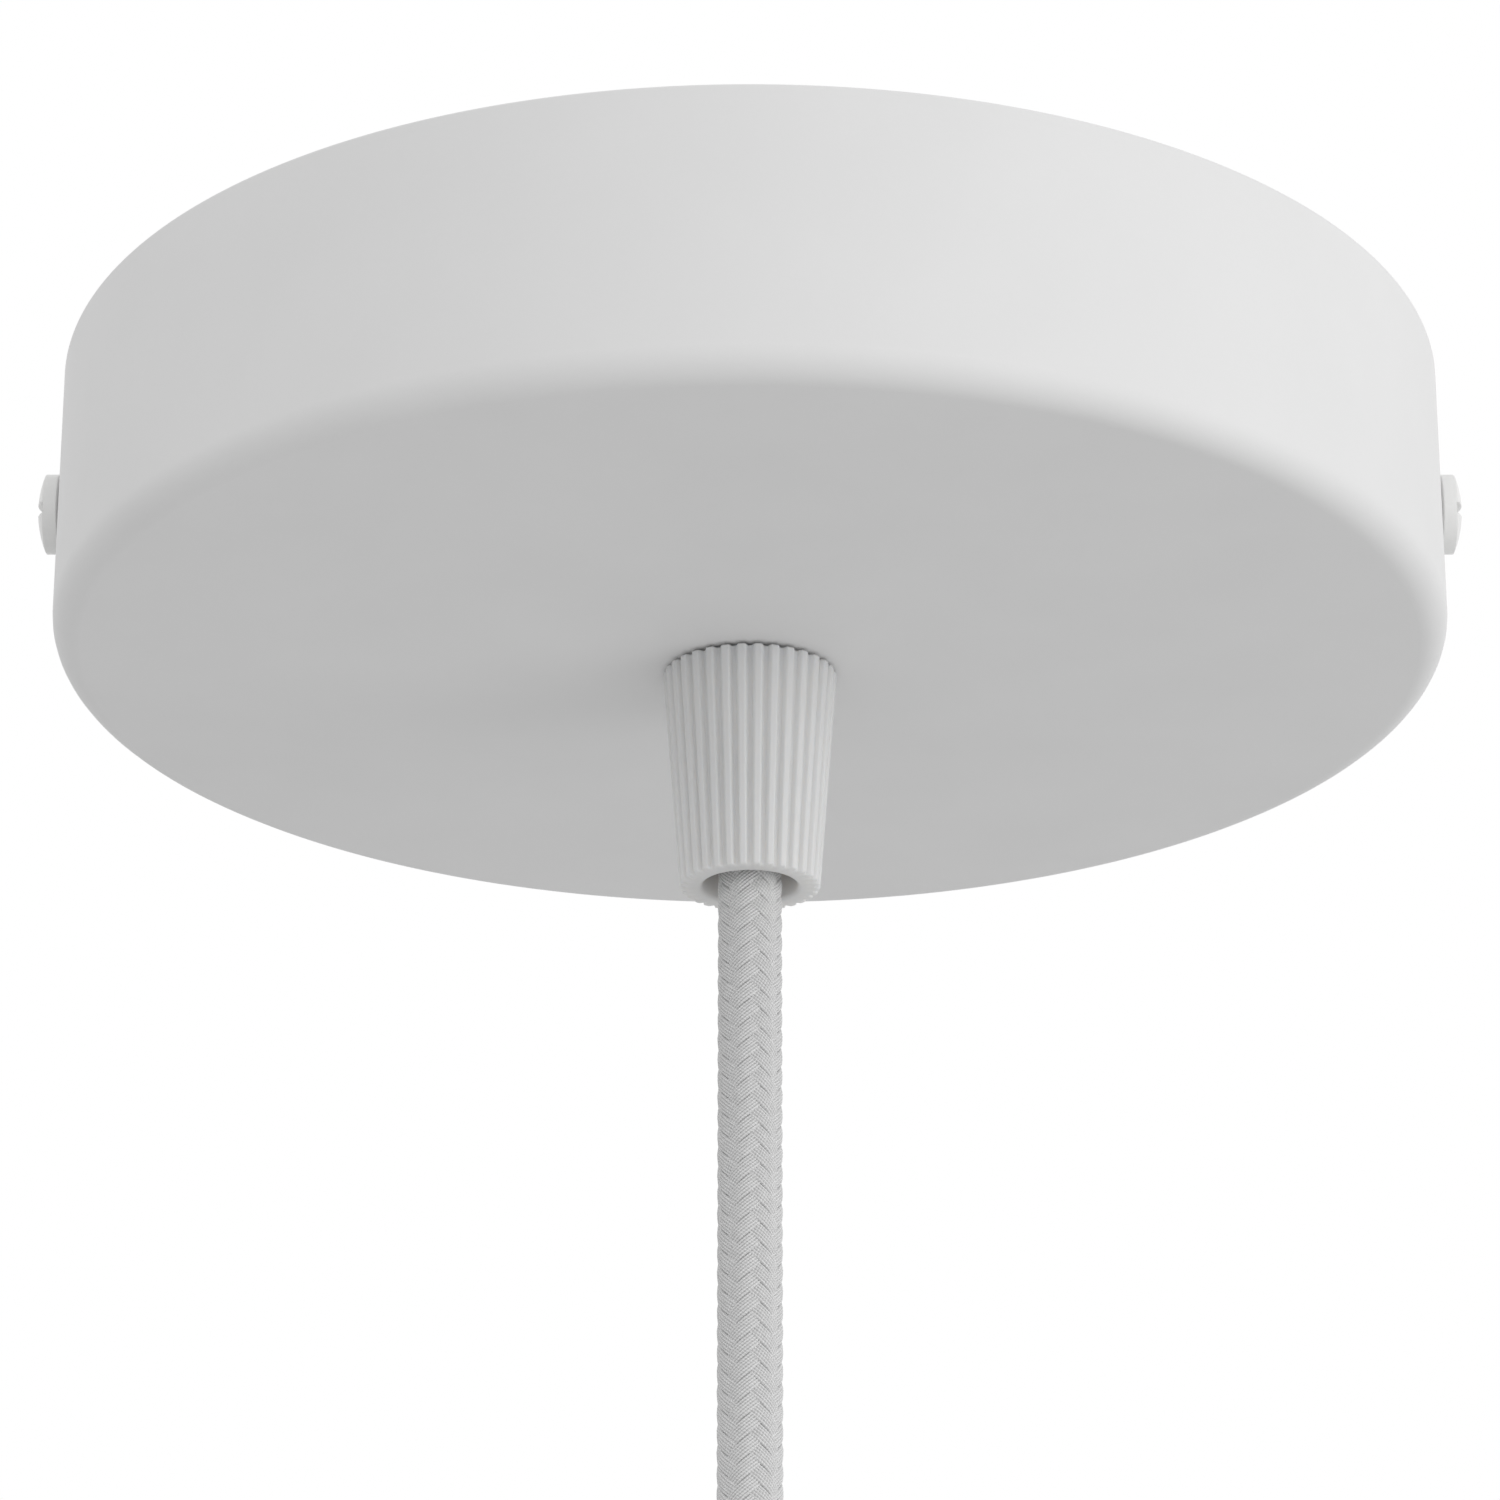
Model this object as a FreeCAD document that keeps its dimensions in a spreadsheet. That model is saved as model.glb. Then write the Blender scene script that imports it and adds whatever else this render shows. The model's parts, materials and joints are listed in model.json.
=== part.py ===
"""Round ceiling rose with a fluted cord grip and a straight pendant cable.

Millimetres. The origin is the middle of the ceiling plane, +Z points up into the ceiling,
+X runs along the mounting bracket from one side screw to the other, and the viewer stands
on the -Y side. Everything hangs below z = 0.
"""

import FreeCAD, Part

import math
import os
import re

import Sketcher
from FreeCAD import Placement, Rotation, Vector

OUT_FOLDER = "parts"

# Driving sizes: name, value in millimetres (or a count or a share), meaning
SIZES = [
    ("canopy_diameter", 120.0, "outside of the cup"),
    ("canopy_height", 25.0, "ceiling to underside"),
    ("canopy_wall", 1.0, "spun steel sheet"),
    ("canopy_edge_radius", 2.5, "outer radius between wall and underside"),
    ("hole_clearance", 0.2, "radial play of a screw or tube in a plain hole"),
    ("thread_clearance", 0.05, "radial play of a screw in its tapped hole"),
    ("seat_gap", 0.1, "small air gap beside a seat"),
    ("bracket_width", 18.0, "strip width"),
    ("bracket_thickness", 2.0, "strip thickness"),
    ("bracket_bend", 1.5, "inside radius of the bends"),
    ("bracket_drop", 15.5, "ceiling to the lower edge of the bent ends"),
    ("bracket_end_gap", 0.3, "gap between the bent ends and the cup"),
    ("bracket_corner", 2.5, "rounded corners of the bent ends"),
    ("wire_entry_diameter", 12.0, "hole for the supply wires"),
    ("fixing_centres", 88.0, "distance between the two ceiling slots"),
    ("fixing_slot_width", 4.5, "slot for a ceiling screw"),
    ("fixing_slot_length", 14.0, "slot for a ceiling screw, end to end"),
    ("side_screw_depth", 10.0, "ceiling to the side screws' axis"),
    ("side_screw_thread", 4.0, "nominal thread"),
    ("side_screw_length", 8.0, "under the head"),
    ("side_screw_head", 7.0, "head diameter"),
    ("side_screw_rim", 1.4, "cylindrical part of the head"),
    ("side_screw_dome", 0.7, "rise of the domed part of the head"),
    ("screw_slot_width", 0.9, "driver slot"),
    ("screw_slot_depth", 0.8, "driver slot"),
    ("stem_thread", 10.0, "nominal diameter of the threaded tube"),
    ("stem_bore", 7.2, "way for the cable"),
    ("stem_flange_ledge", 1.0, "how far the flange stands out beyond the thread"),
    ("stem_flange_thickness", 1.2, "flange under the canopy"),
    ("stem_above_nut", 1.0, "thread that shows above the nut"),
    ("stem_below_flange", 9.8, "thread below the flange"),
    ("stem_seat_chamfer", 0.8, "cone inside the lower mouth of the stem"),
    ("washer_diameter", 18.0, "plain washer"),
    ("washer_thickness", 1.0, "plain washer"),
    ("nut_across_flats", 14.0, "hexagon nut"),
    ("nut_thickness", 3.5, "hexagon nut"),
    ("nut_chamfer", 0.8, "corner chamfer of the nut"),
    ("cap_length", 19.5, "height of the fluted cone"),
    ("cap_seam", 0.25, "thin dark line between canopy and cap"),
    ("cap_recess_gap", 0.3, "air round the stem's flange"),
    ("cap_recess_wall", 1.2, "wall round the stem's flange, with the ridges"),
    ("cap_mouth_diameter", 8.1, "hole round the cable"),
    ("cap_mouth_wall", 1.95, "wall round that hole, with the ridges"),
    ("cap_mouth_length", 2.0, "straight part of that hole"),
    ("cap_mouth_chamfer", 0.3, "broken edge of that hole"),
    ("flute_count", 32, "flutes round the cap"),
    ("flute_depth", 0.5, "radial depth of a flute"),
    ("flute_share", 0.5, "width of a flute as a share of the pitch"),
    ("flute_floor_share", 0.55, "width of a flute's floor as a share of its mouth"),
    ("claw_clearance", 0.2, "air between claw and cap"),
    ("claw_ring", 1.6, "closed ring of the claw"),
    ("claw_length", 6.2, "ring and fingers"),
    ("claw_slit", 0.8, "slit between two fingers"),
    ("cable_diameter", 5.5, "over the braid"),
    ("cable_above_stem", 2.0, "braid that stands out of the stem"),
    ("cable_bottom_depth", 102.0, "ceiling to the braid's lower end"),
    ("sheath_diameter", 4.9, "inner sheath"),
    ("sheath_shown", 2.0, "sheath that stands out of the braid"),
    ("sleeve_thickness", 0.35, "shrink sleeve"),
    ("sleeve_on_braid", 1.4, "sleeve over the braid"),
    ("sleeve_on_sheath", 1.3, "sleeve over the sheath"),
    ("core_diameter", 1.8, "insulated core"),
    ("core_circle", 1.06, "radius of the circle on which three cores lie"),
    ("conductor_diameter", 0.95, "bare copper"),
    ("conductor_past_screw", 1.5, "bare copper beyond the clamping screw's axis"),
    ("terminal_x", 22.0, "middle of the terminal block along the bracket"),
    ("terminal_pitch", 9.0, "pole to pole"),
    ("terminal_length", 28.0, "housing along the bracket"),
    ("terminal_base_width", 17.0, "housing across the bracket, wire part"),
    ("terminal_base_height", 7.0, "housing height, wire part"),
    ("terminal_tower_width", 12.0, "housing width, screw part"),
    ("terminal_tower_height", 4.5, "housing height, screw part"),
    ("terminal_corner", 0.6, "rounded edges of the housing"),
    ("terminal_notch", 1.0, "notch between two poles"),
    ("tube_diameter", 4.2, "brass tube"),
    ("tube_bore", 2.6, "way for the conductors"),
    ("tube_length", 14.0, "brass tube"),
    ("clamp_screw_thread", 2.5, "nominal thread"),
    ("clamp_screw_spacing", 7.0, "between the two screws of a pole"),
    ("clamp_screw_head_height", 1.6, "head height"),
    ("clamp_well_diameter", 3.6, "well over a clamping screw"),
    ("inner_screw_dome", 0.5, "rise of the domed part of the heads inside"),
    ("fixing_screw_thread", 3.0, "nominal thread"),
    ("fixing_screw_head", 5.0, "head diameter"),
    ("fixing_screw_head_height", 1.6, "head height"),
    ("earth_screw_x", -20.0, "earth screw along the bracket"),
    ("earth_screw_thread", 4.0, "nominal thread"),
    ("earth_screw_head", 7.0, "head diameter"),
    ("earth_screw_head_height", 2.4, "head height"),
    ("lug_thickness", 0.8, "ring terminal sheet"),
    ("lug_diameter", 8.0, "ring terminal"),
    ("lug_tongue_width", 2.8, "between ring and barrel"),
    ("lug_tongue_length", 6.0, "screw axis to barrel"),
    ("lug_barrel_diameter", 3.0, "crimped barrel"),
    ("lug_barrel_length", 5.0, "crimped barrel"),
    ("core_in_barrel", 1.5, "insulated core inside the barrel"),
    ("core_end_length", 8.5, "cores below the lower sheath"),
    ("core_end_spread", 2.6, "radius of the circle of the cores' ends"),
    ("ferrule_collar_diameter", 2.6, "plastic collar"),
    ("ferrule_collar_length", 2.2, "plastic collar"),
    ("ferrule_tube_diameter", 1.3, "tinned tube"),
    ("ferrule_tube_length", 5.0, "tinned tube"),
]

# Places and sizes that follow from the driving sizes
DERIVED = {
    "canopy_r": "canopy_diameter / 2",
    "canopy_inner_r": "canopy_r - canopy_wall",
    "underside": "-canopy_height",
    "floor": "underside + canopy_wall",
    "stem_r": "stem_thread / 2",
    "stem_hole_r": "stem_r + hole_clearance",
    "washer_top": "floor + washer_thickness",
    "nut_top": "washer_top + nut_thickness",
    "stem_top": "nut_top + stem_above_nut",
    "flange_bottom": "underside - stem_flange_thickness",
    "stem_bottom": "flange_bottom - stem_below_flange",
    "stem_flange_r": "stem_r + stem_flange_ledge",
    "nut_corner_r": "nut_across_flats / 2 / cos(30)",
    "cap_top": "underside - cap_seam",
    "cap_bottom": "cap_top - cap_length",
    "cap_recess_r": "stem_flange_r + cap_recess_gap",
    "cap_recess_bottom": "flange_bottom - seat_gap - cap_seam",
    "cap_top_r": "cap_recess_r + cap_recess_wall",
    "cap_thread_r": "stem_r + thread_clearance",
    "cap_mouth_r": "cap_mouth_diameter / 2",
    "cap_mouth_top": "cap_bottom + cap_mouth_length",
    "cap_bottom_r": "cap_mouth_r + cap_mouth_wall",
    "cap_taper": "(cap_top_r - cap_bottom_r) / cap_length",
    "claw_top": "stem_bottom - seat_gap",
    "claw_ring_bottom": "claw_top - claw_ring",
    "claw_bottom": "claw_top - claw_length",
    "claw_r": "cap_thread_r - claw_clearance",
    "claw_tip_r": "cap_mouth_r - claw_clearance",
    "cable_r": "cable_diameter / 2",
    "cable_top": "stem_top + cable_above_stem",
    "cable_bottom": "-cable_bottom_depth",
    "sheath_r": "sheath_diameter / 2",
    "sheath_top": "cable_top + sheath_shown",
    "sheath_bottom": "cable_bottom - sheath_shown",
    "bracket_under": "-bracket_thickness",
    "bracket_half": "sqrt(canopy_inner_r ^ 2 - (bracket_width / 2) ^ 2) - bracket_end_gap",
    "terminal_bottom": "bracket_under - terminal_base_height - terminal_tower_height",
    "terminal_step": "bracket_under - terminal_base_height",
    "pole_z": "bracket_under - terminal_base_height / 2",
    "fixing_x": "terminal_x + terminal_pitch / 2",
    "fixing_head_z": "terminal_step + fixing_screw_head_height + seat_gap",
    "lug_under": "bracket_under - lug_thickness",
    "barrel_z": "bracket_under - lug_barrel_diameter / 2",
    "core_end_bottom": "sheath_bottom - core_end_length",
}

POLES = ("earth", "neutral", "live")
POLE_STEPS = (-1, 0, 1)
CORE_ANGLES = (0.0, 120.0, 240.0)

doc = FreeCAD.newDocument("CeilingRose")
sheet = doc.addObject("Spreadsheet::Sheet", "Sizes")
NAMES = {name for name, _, _ in SIZES}
nodes = []


def formula(text):
    """Write every size and every derived name in a formula as cells of the sheet."""
    def swap(match):
        name = match.group(0)
        if name in NAMES:
            return "Sizes." + name
        if name in DERIVED:
            return "(" + formula(DERIVED[name]) + ")"
        return name
    return re.sub(r"[A-Za-z_]+", swap, text)


def value(text):
    """Return the number that a formula stands for."""
    return float(sheet.evalExpression(formula(text)))


def bind(item, prop, text):
    """Tie one property of a document object to a formula."""
    item.setExpression(prop, formula(text))


def fill_sheet():
    """Put the driving sizes into the spreadsheet, one per row."""
    for row, (name, number, meaning) in enumerate(SIZES, start=1):
        sheet.set(f"A{row}", meaning)
        sheet.set(f"B{row}", str(number))
        sheet.setAlias(f"B{row}", name)
    doc.recompute()


# Sketches and features


def new_body(label):
    """Start a sub-part whose label names its file."""
    body = doc.addObject("PartDesign::Body", label)
    body.Label = label
    nodes.append(body)
    return body


def origin_item(body, role):
    """Find a plane or an axis of a body's own origin."""
    return next(item for item in body.Origin.OriginFeatures if item.Role == role)


def new_sketch(body, name, role, offset="0"):
    """Start a sketch on an origin plane, moved along the plane's normal."""
    sketch = body.newObject("Sketcher::SketchObject", name)
    sketch.AttachmentSupport = [(origin_item(body, role), "")]
    sketch.MapMode = "FlatFace"
    bind(sketch, "AttachmentOffset.Base.z", offset)
    return sketch


def pin_point(sketch, geometry, point, where):
    """Bind both coordinates of a sketch point to formulas."""
    for kind, text in zip(("DistanceX", "DistanceY"), where):
        rule = Sketcher.Constraint(kind, -1, 1, geometry, point, value(text))
        bind(sketch, f"Constraints[{sketch.addConstraint(rule)}]", text)


def outline(sketch, corners):
    """Draw a closed outline of straight lines through corners given as formulas."""
    spots = [Vector(value(x), value(y), 0) for x, y in corners]
    first = sketch.GeometryCount
    count = len(corners)
    for i in range(count):
        sketch.addGeometry(Part.LineSegment(spots[i], spots[(i + 1) % count]), False)
    for i in range(count):
        follower = first + (i + 1) % count
        sketch.addConstraint(Sketcher.Constraint("Coincident", first + i, 2, follower, 1))
        pin_point(sketch, first + i, 1, corners[i])


def ring(sketch, centre, radius):
    """Draw a full circle with bound centre and radius."""
    middle = Vector(value(centre[0]), value(centre[1]), 0)
    index = sketch.addGeometry(Part.Circle(middle, Vector(0, 0, 1), value(radius)), False)
    pin_point(sketch, index, 3, centre)
    rule = sketch.addConstraint(Sketcher.Constraint("Radius", index, value(radius)))
    bind(sketch, f"Constraints[{rule}]", radius)


def long_hole(sketch, centre, length, width):
    """Draw a slot with round ends along the sketch's first axis."""
    x, y = value(centre[0]), value(centre[1])
    reach = value(f"({length} - {width}) / 2")
    radius = value(f"{width} / 2")
    up = Vector(0, 0, 1)
    quarter = math.pi / 2
    right = Part.ArcOfCircle(Part.Circle(Vector(x + reach, y, 0), up, radius), -quarter, quarter)
    left = Part.ArcOfCircle(Part.Circle(Vector(x - reach, y, 0), up, radius), quarter, 3 * quarter)
    top = Part.LineSegment(Vector(x + reach, y + radius, 0), Vector(x - reach, y + radius, 0))
    bottom = Part.LineSegment(Vector(x - reach, y - radius, 0), Vector(x + reach, y - radius, 0))
    loop = [sketch.addGeometry(part, False) for part in (right, top, left, bottom)]
    for i, this in enumerate(loop):
        sketch.addConstraint(Sketcher.Constraint("Tangent", this, 2, loop[(i + 1) % 4], 1))
    for arc, sign in ((loop[0], "+"), (loop[2], "-")):
        pin_point(sketch, arc, 3, (f"{centre[0]} {sign} ({length} - {width}) / 2", centre[1]))
    rule = sketch.addConstraint(Sketcher.Constraint("Radius", loop[0], radius))
    bind(sketch, f"Constraints[{rule}]", f"{width} / 2")


def finish_feature(body, feature):
    """Recompute and make the feature the body's result."""
    body.Tip = feature
    doc.recompute()
    return feature


def turned(body, name, corners):
    """Revolve a half section, given as radius and height, about the body's Z axis."""
    sketch = new_sketch(body, name + "_section", "XZ_Plane")
    outline(sketch, corners)
    turn = body.newObject("PartDesign::Revolution", name)
    turn.Profile = sketch
    turn.ReferenceAxis = (sketch, ["V_Axis"])
    turn.Angle = 360
    return finish_feature(body, turn)


def grooved(body, name, corners):
    """Cut a revolved section out of the body."""
    before = body.Shape.Volume
    sketch = new_sketch(body, name + "_section", "XZ_Plane")
    outline(sketch, corners)
    groove = body.newObject("PartDesign::Groove", name)
    groove.Profile = sketch
    groove.ReferenceAxis = (sketch, ["V_Axis"])
    groove.Angle = 360
    finish_feature(body, groove)
    check_cut(body, name, before)


def padded(body, name, sketch, length, symmetric=False):
    """Raise a sketch along its normal, or to both sides of it."""
    pad = body.newObject("PartDesign::Pad", name)
    pad.Profile = sketch
    pad.SideType = "Symmetric" if symmetric else "One side"
    bind(pad, "Length", length)
    return finish_feature(body, pad)


def pocketed(body, name, sketch, length, symmetric=False, reverse=False):
    """Cut a sketch to a depth, against its normal unless reversed, or to both sides."""
    before = body.Shape.Volume
    pocket = body.newObject("PartDesign::Pocket", name)
    pocket.Profile = sketch
    pocket.Type = "Length"
    pocket.SideType = "Symmetric" if symmetric else "One side"
    pocket.Reversed = reverse
    bind(pocket, "Length", length)
    finish_feature(body, pocket)
    check_cut(body, name, before)
    return pocket


def check_cut(body, name, before):
    """Stop if a cut took nothing away."""
    if body.Shape.Volume > before - 1e-4:
        raise RuntimeError(f"{body.Label}: {name} cuts nothing")


def rounded(body, name, wanted, radius, kind="Fillet"):
    """Fillet or chamfer the edges of the body that a test picks."""
    base = body.Tip
    picked = [f"Edge{i}" for i, edge in enumerate(base.Shape.Edges, start=1) if wanted(edge)]
    feature = body.newObject("PartDesign::" + kind, name)
    feature.Base = (base, picked)
    bind(feature, "Radius" if kind == "Fillet" else "Size", radius)
    return finish_feature(body, feature)


def is_ring(edge, radius, height):
    """Tell whether an edge is a level circle of this radius at this height."""
    curve = edge.Curve
    if not isinstance(curve, Part.Circle):
        return False
    return abs(curve.Radius - radius) < 1e-4 and abs(curve.Center.z - height) < 1e-4


def straight_along(edge, axis):
    """Tell whether an edge is a straight line along an axis."""
    if not isinstance(edge.Curve, Part.Line):
        return False
    return abs(abs(edge.Curve.Direction.dot(axis)) - 1) < 1e-6


# Screws are primitives, joined and cut


def primitive(kind, name, **sizes):
    """Add a Part primitive whose properties are bound to formulas."""
    item = doc.addObject("Part::" + kind, name)
    for prop, text in sizes.items():
        bind(item, prop, text)
    return item


def combined(kind, name, first, second):
    """Cut, fuse or intersect two objects."""
    item = doc.addObject("Part::" + kind, name)
    parts = (first, second)
    item.Base, item.Tool = parts
    return item


def place(item, x, y, z, rotation=None):
    """Put an object at a place given as formulas."""
    item.Placement = Placement(Vector(0, 0, 0), rotation or Rotation())
    for axis, text in zip("xyz", (x, y, z)):
        bind(item, "Placement.Base." + axis, text)


def slotted_screw(label, thread, length, head, rim, dome):
    """Build a slotted screw along +Z: thread below z = 0, head above, driver slot along Y."""
    shank = primitive("Cylinder", label + "_shank", Height=length,
                      Radius=f"{thread} / 2 - thread_clearance")
    place(shank, "0", "0", f"-{length}")
    block = primitive("Cylinder", label + "_head", Radius=f"{head} / 2",
                      Height=f"{rim} + {dome}")
    ball_radius = f"(({head} / 2) ^ 2 + ({dome}) ^ 2) / 2 / ({dome})"
    ball = primitive("Sphere", label + "_dome", Radius=ball_radius)
    place(ball, "0", "0", f"{rim} + {dome} - {ball_radius}")
    crown = combined("Common", label + "_crown", block, ball)
    blank = combined("Fuse", label + "_blank", crown, shank)
    slot = primitive("Box", label + "_slot", Length="screw_slot_width",
                     Width=f"{head} * 2", Height="screw_slot_depth * 2")
    place(slot, "-screw_slot_width / 2", f"-{head}", f"{rim} + {dome} - screw_slot_depth")
    screw = combined("Cut", label, blank, slot)
    screw.Label = label
    return screw


# Wires run along straight stretches joined by tangent arcs


def wire_path(points, share=0.45):
    """Join points by runs and tangent arcs; return the wire and the radii of the arcs."""
    edges = []
    radii = []
    start = points[0]
    for before, corner, after in zip(points, points[1:], points[2:]):
        back = (before - corner).normalize()
        ahead = (after - corner).normalize()
        half_turn = (math.pi - back.getAngle(ahead)) / 2
        shorter = min((before - corner).Length, (after - corner).Length)
        cut = share * shorter
        radius = cut / math.tan(half_turn)
        enter = corner + back * cut
        leave = corner + ahead * cut
        inward = (back + ahead).normalize()
        middle = corner + inward * (radius / math.cos(half_turn) - radius)
        edges.append(Part.LineSegment(start, enter).toShape())
        edges.append(Part.Arc(enter, middle, leave).toShape())
        radii.append(radius)
        start = leave
    edges.append(Part.LineSegment(start, points[-1]).toShape())
    return Part.Wire(edges), radii


def wire_solid(points, radius, label):
    """Sweep a round section along a path and compare its volume with section times length."""
    path, radii = wire_path(points)
    direction = (points[1] - points[0]).normalize()
    section = Part.Wire([Part.makeCircle(radius, points[0], direction)])
    solid = path.makePipeShell([section], True, False)
    expected = math.pi * radius ** 2 * path.Length
    if abs(solid.Volume / expected - 1) > 0.01:
        raise RuntimeError(f"{label}: volume {solid.Volume:.2f}, expected {expected:.2f}")
    print(label, "length", round(path.Length, 1), "radii", [round(r, 1) for r in radii])
    return solid


def shape_node(label, shape):
    """Add a finished shape as a sub-part."""
    item = doc.addObject("Part::Feature", label)
    item.Label = label
    item.Shape = shape
    item.Placement = Placement()
    nodes.append(item)
    return item


# Casing


def make_canopy():
    """Spun cup with a centre hole for the stem and a hole in each side for its screw."""
    body = new_body("canopy")
    turned(body, "cup", [
        ("stem_hole_r", "underside"),
        ("canopy_r", "underside"),
        ("canopy_r", "0"),
        ("canopy_inner_r", "0"),
        ("canopy_inner_r", "floor"),
        ("stem_hole_r", "floor"),
    ])
    outer, inner = value("canopy_r"), value("canopy_inner_r")
    low, high = value("underside"), value("floor")
    rounded(body, "outer_edge", lambda edge: is_ring(edge, outer, low), "canopy_edge_radius")
    rounded(body, "inner_edge", lambda edge: is_ring(edge, inner, high),
            "canopy_edge_radius - canopy_wall")
    holes = new_sketch(body, "side_holes_place", "YZ_Plane")
    ring(holes, ("0", "-side_screw_depth"), "side_screw_thread / 2 + hole_clearance")
    pocketed(body, "side_holes", holes, "canopy_diameter * 2", symmetric=True)


def make_side_screws():
    """Two slotted screws that join the canopy to the bracket's bent ends."""
    for label, side in (("side_screw_right", 1), ("side_screw_left", -1)):
        screw = slotted_screw(label, "side_screw_thread", "side_screw_length",
                              "side_screw_head", "side_screw_rim", "side_screw_dome")
        turn = Rotation(Vector(0, 1, 0), 90 * side)
        place(screw, f"{side} * (canopy_r + seat_gap)", "0", "-side_screw_depth", turn)
        nodes.append(screw)


def make_bracket():
    """Flat strip bent down at both ends, with slots, wire hole and tapped holes."""
    body = new_body("mounting_bracket")
    section = new_sketch(body, "strip_section", "XZ_Plane")
    inside = "(bracket_half - bracket_thickness)"
    outline(section, [
        ("-bracket_half", "0"),
        ("bracket_half", "0"),
        ("bracket_half", "-bracket_drop"),
        (inside, "-bracket_drop"),
        (inside, "bracket_under"),
        ("-" + inside, "bracket_under"),
        ("-" + inside, "-bracket_drop"),
        ("-bracket_half", "-bracket_drop"),
    ])
    padded(body, "strip", section, "bracket_width", symmetric=True)
    half, drop = value("bracket_half"), value("bracket_drop")
    thickness = value("bracket_thickness")

    def bend_outside(edge):
        spot = edge.CenterOfMass
        return straight_along(edge, Vector(0, 1, 0)) and abs(spot.z) < 1e-4

    def bend_inside(edge):
        spot = edge.CenterOfMass
        return straight_along(edge, Vector(0, 1, 0)) and abs(spot.z + thickness) < 1e-4

    def end_corner(edge):
        spot = edge.CenterOfMass
        at_end = abs(abs(spot.x) - half + thickness / 2) < 1e-4
        return straight_along(edge, Vector(1, 0, 0)) and at_end and abs(spot.z + drop) < 1e-4

    rounded(body, "outer_bends", bend_outside, "bracket_bend + bracket_thickness")
    rounded(body, "inner_bends", bend_inside, "bracket_bend")
    rounded(body, "end_corners", end_corner, "bracket_corner")

    slots = new_sketch(body, "ceiling_slots_place", "XY_Plane")
    for side in ("-", ""):
        long_hole(slots, (side + "fixing_centres / 2", "0"), "fixing_slot_length",
                  "fixing_slot_width")
    ring(slots, ("0", "0"), "wire_entry_diameter / 2")
    pocketed(body, "ceiling_slots", slots, "bracket_thickness * 3", symmetric=True)
    tapped = new_sketch(body, "tapped_holes_place", "XY_Plane")
    ring(tapped, ("earth_screw_x", "0"), "earth_screw_thread / 2")
    ring(tapped, ("fixing_x", "0"), "fixing_screw_thread / 2")
    pocketed(body, "tapped_holes", tapped, "bracket_thickness * 3", symmetric=True)
    ends = new_sketch(body, "end_holes_place", "YZ_Plane")
    ring(ends, ("0", "-side_screw_depth"), "side_screw_thread / 2")
    pocketed(body, "end_holes", ends, "canopy_diameter * 2", symmetric=True)


# Cord grip


def make_stem():
    """Threaded tube with a flange under the canopy and a cone seat at its lower mouth."""
    body = new_body("clamp_stem")
    turned(body, "tube", [
        ("stem_bore / 2", "stem_top"),
        ("stem_r", "stem_top"),
        ("stem_r", "underside"),
        ("stem_flange_r", "underside"),
        ("stem_flange_r", "flange_bottom"),
        ("stem_r", "flange_bottom"),
        ("stem_r", "stem_bottom"),
        ("stem_bore / 2 + stem_seat_chamfer", "stem_bottom"),
        ("stem_bore / 2", "stem_bottom + stem_seat_chamfer"),
    ])
    edge_r, top = value("stem_r"), value("stem_top")
    rounded(body, "lead_in", lambda edge: is_ring(edge, edge_r, top),
            "stem_above_nut / 2", "Chamfer")


def make_washer():
    """Plain washer between the nut and the canopy's floor."""
    body = new_body("stem_washer")
    turned(body, "disc", [
        ("stem_hole_r", "floor"),
        ("washer_diameter / 2", "floor"),
        ("washer_diameter / 2", "washer_top"),
        ("stem_hole_r", "washer_top"),
    ])
    rim, top = value("washer_diameter / 2"), value("washer_top")
    rounded(body, "stamped_edge", lambda edge: is_ring(edge, rim, top), "washer_thickness / 4",
            "Chamfer")


def make_nut():
    """Hexagon nut with chamfered corners and a plain bore for the fine thread."""
    body = new_body("stem_nut")
    hexagon = new_sketch(body, "hexagon", "XY_Plane", "washer_top")
    outline(hexagon, [(f"nut_corner_r * cos({60 * i})", f"nut_corner_r * sin({60 * i})")
                      for i in range(6)])
    padded(body, "block", hexagon, "nut_thickness")
    bore = new_sketch(body, "bore_place", "XY_Plane", "washer_top")
    ring(bore, ("0", "0"), "stem_r + thread_clearance")
    pocketed(body, "bore", bore, "nut_thickness * 2", reverse=True)
    beyond = "(nut_corner_r + nut_chamfer)"
    inner = "(nut_across_flats / 2)"
    drop = "nut_chamfer"
    for name, face, sign in (("top_chamfer", "nut_top", "-"), ("low_chamfer", "washer_top", "+")):
        grooved(body, name, [
            (inner, face),
            (beyond, face),
            (beyond, f"{face} {sign} {drop} * 2"),
        ])


def make_cap():
    """Hand-turned fluted cone: recess for the flange, thread, cone seat and cable mouth."""
    body = new_body("clamp_cap")
    turned(body, "cone", [
        ("cap_recess_r", "cap_top"),
        ("cap_top_r", "cap_top"),
        ("cap_bottom_r", "cap_bottom"),
        ("cap_mouth_r", "cap_bottom"),
        ("cap_mouth_r", "cap_mouth_top"),
        ("cap_thread_r", "claw_ring_bottom"),
        ("cap_thread_r", "cap_recess_bottom"),
        ("cap_recess_r", "cap_recess_bottom"),
    ])
    mouth_r, low = value("cap_mouth_r"), value("cap_bottom")
    rounded(body, "mouth_edge", lambda edge: is_ring(edge, mouth_r, low),
            "cap_mouth_chamfer", "Chamfer")
    cut_flutes(body)


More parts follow.
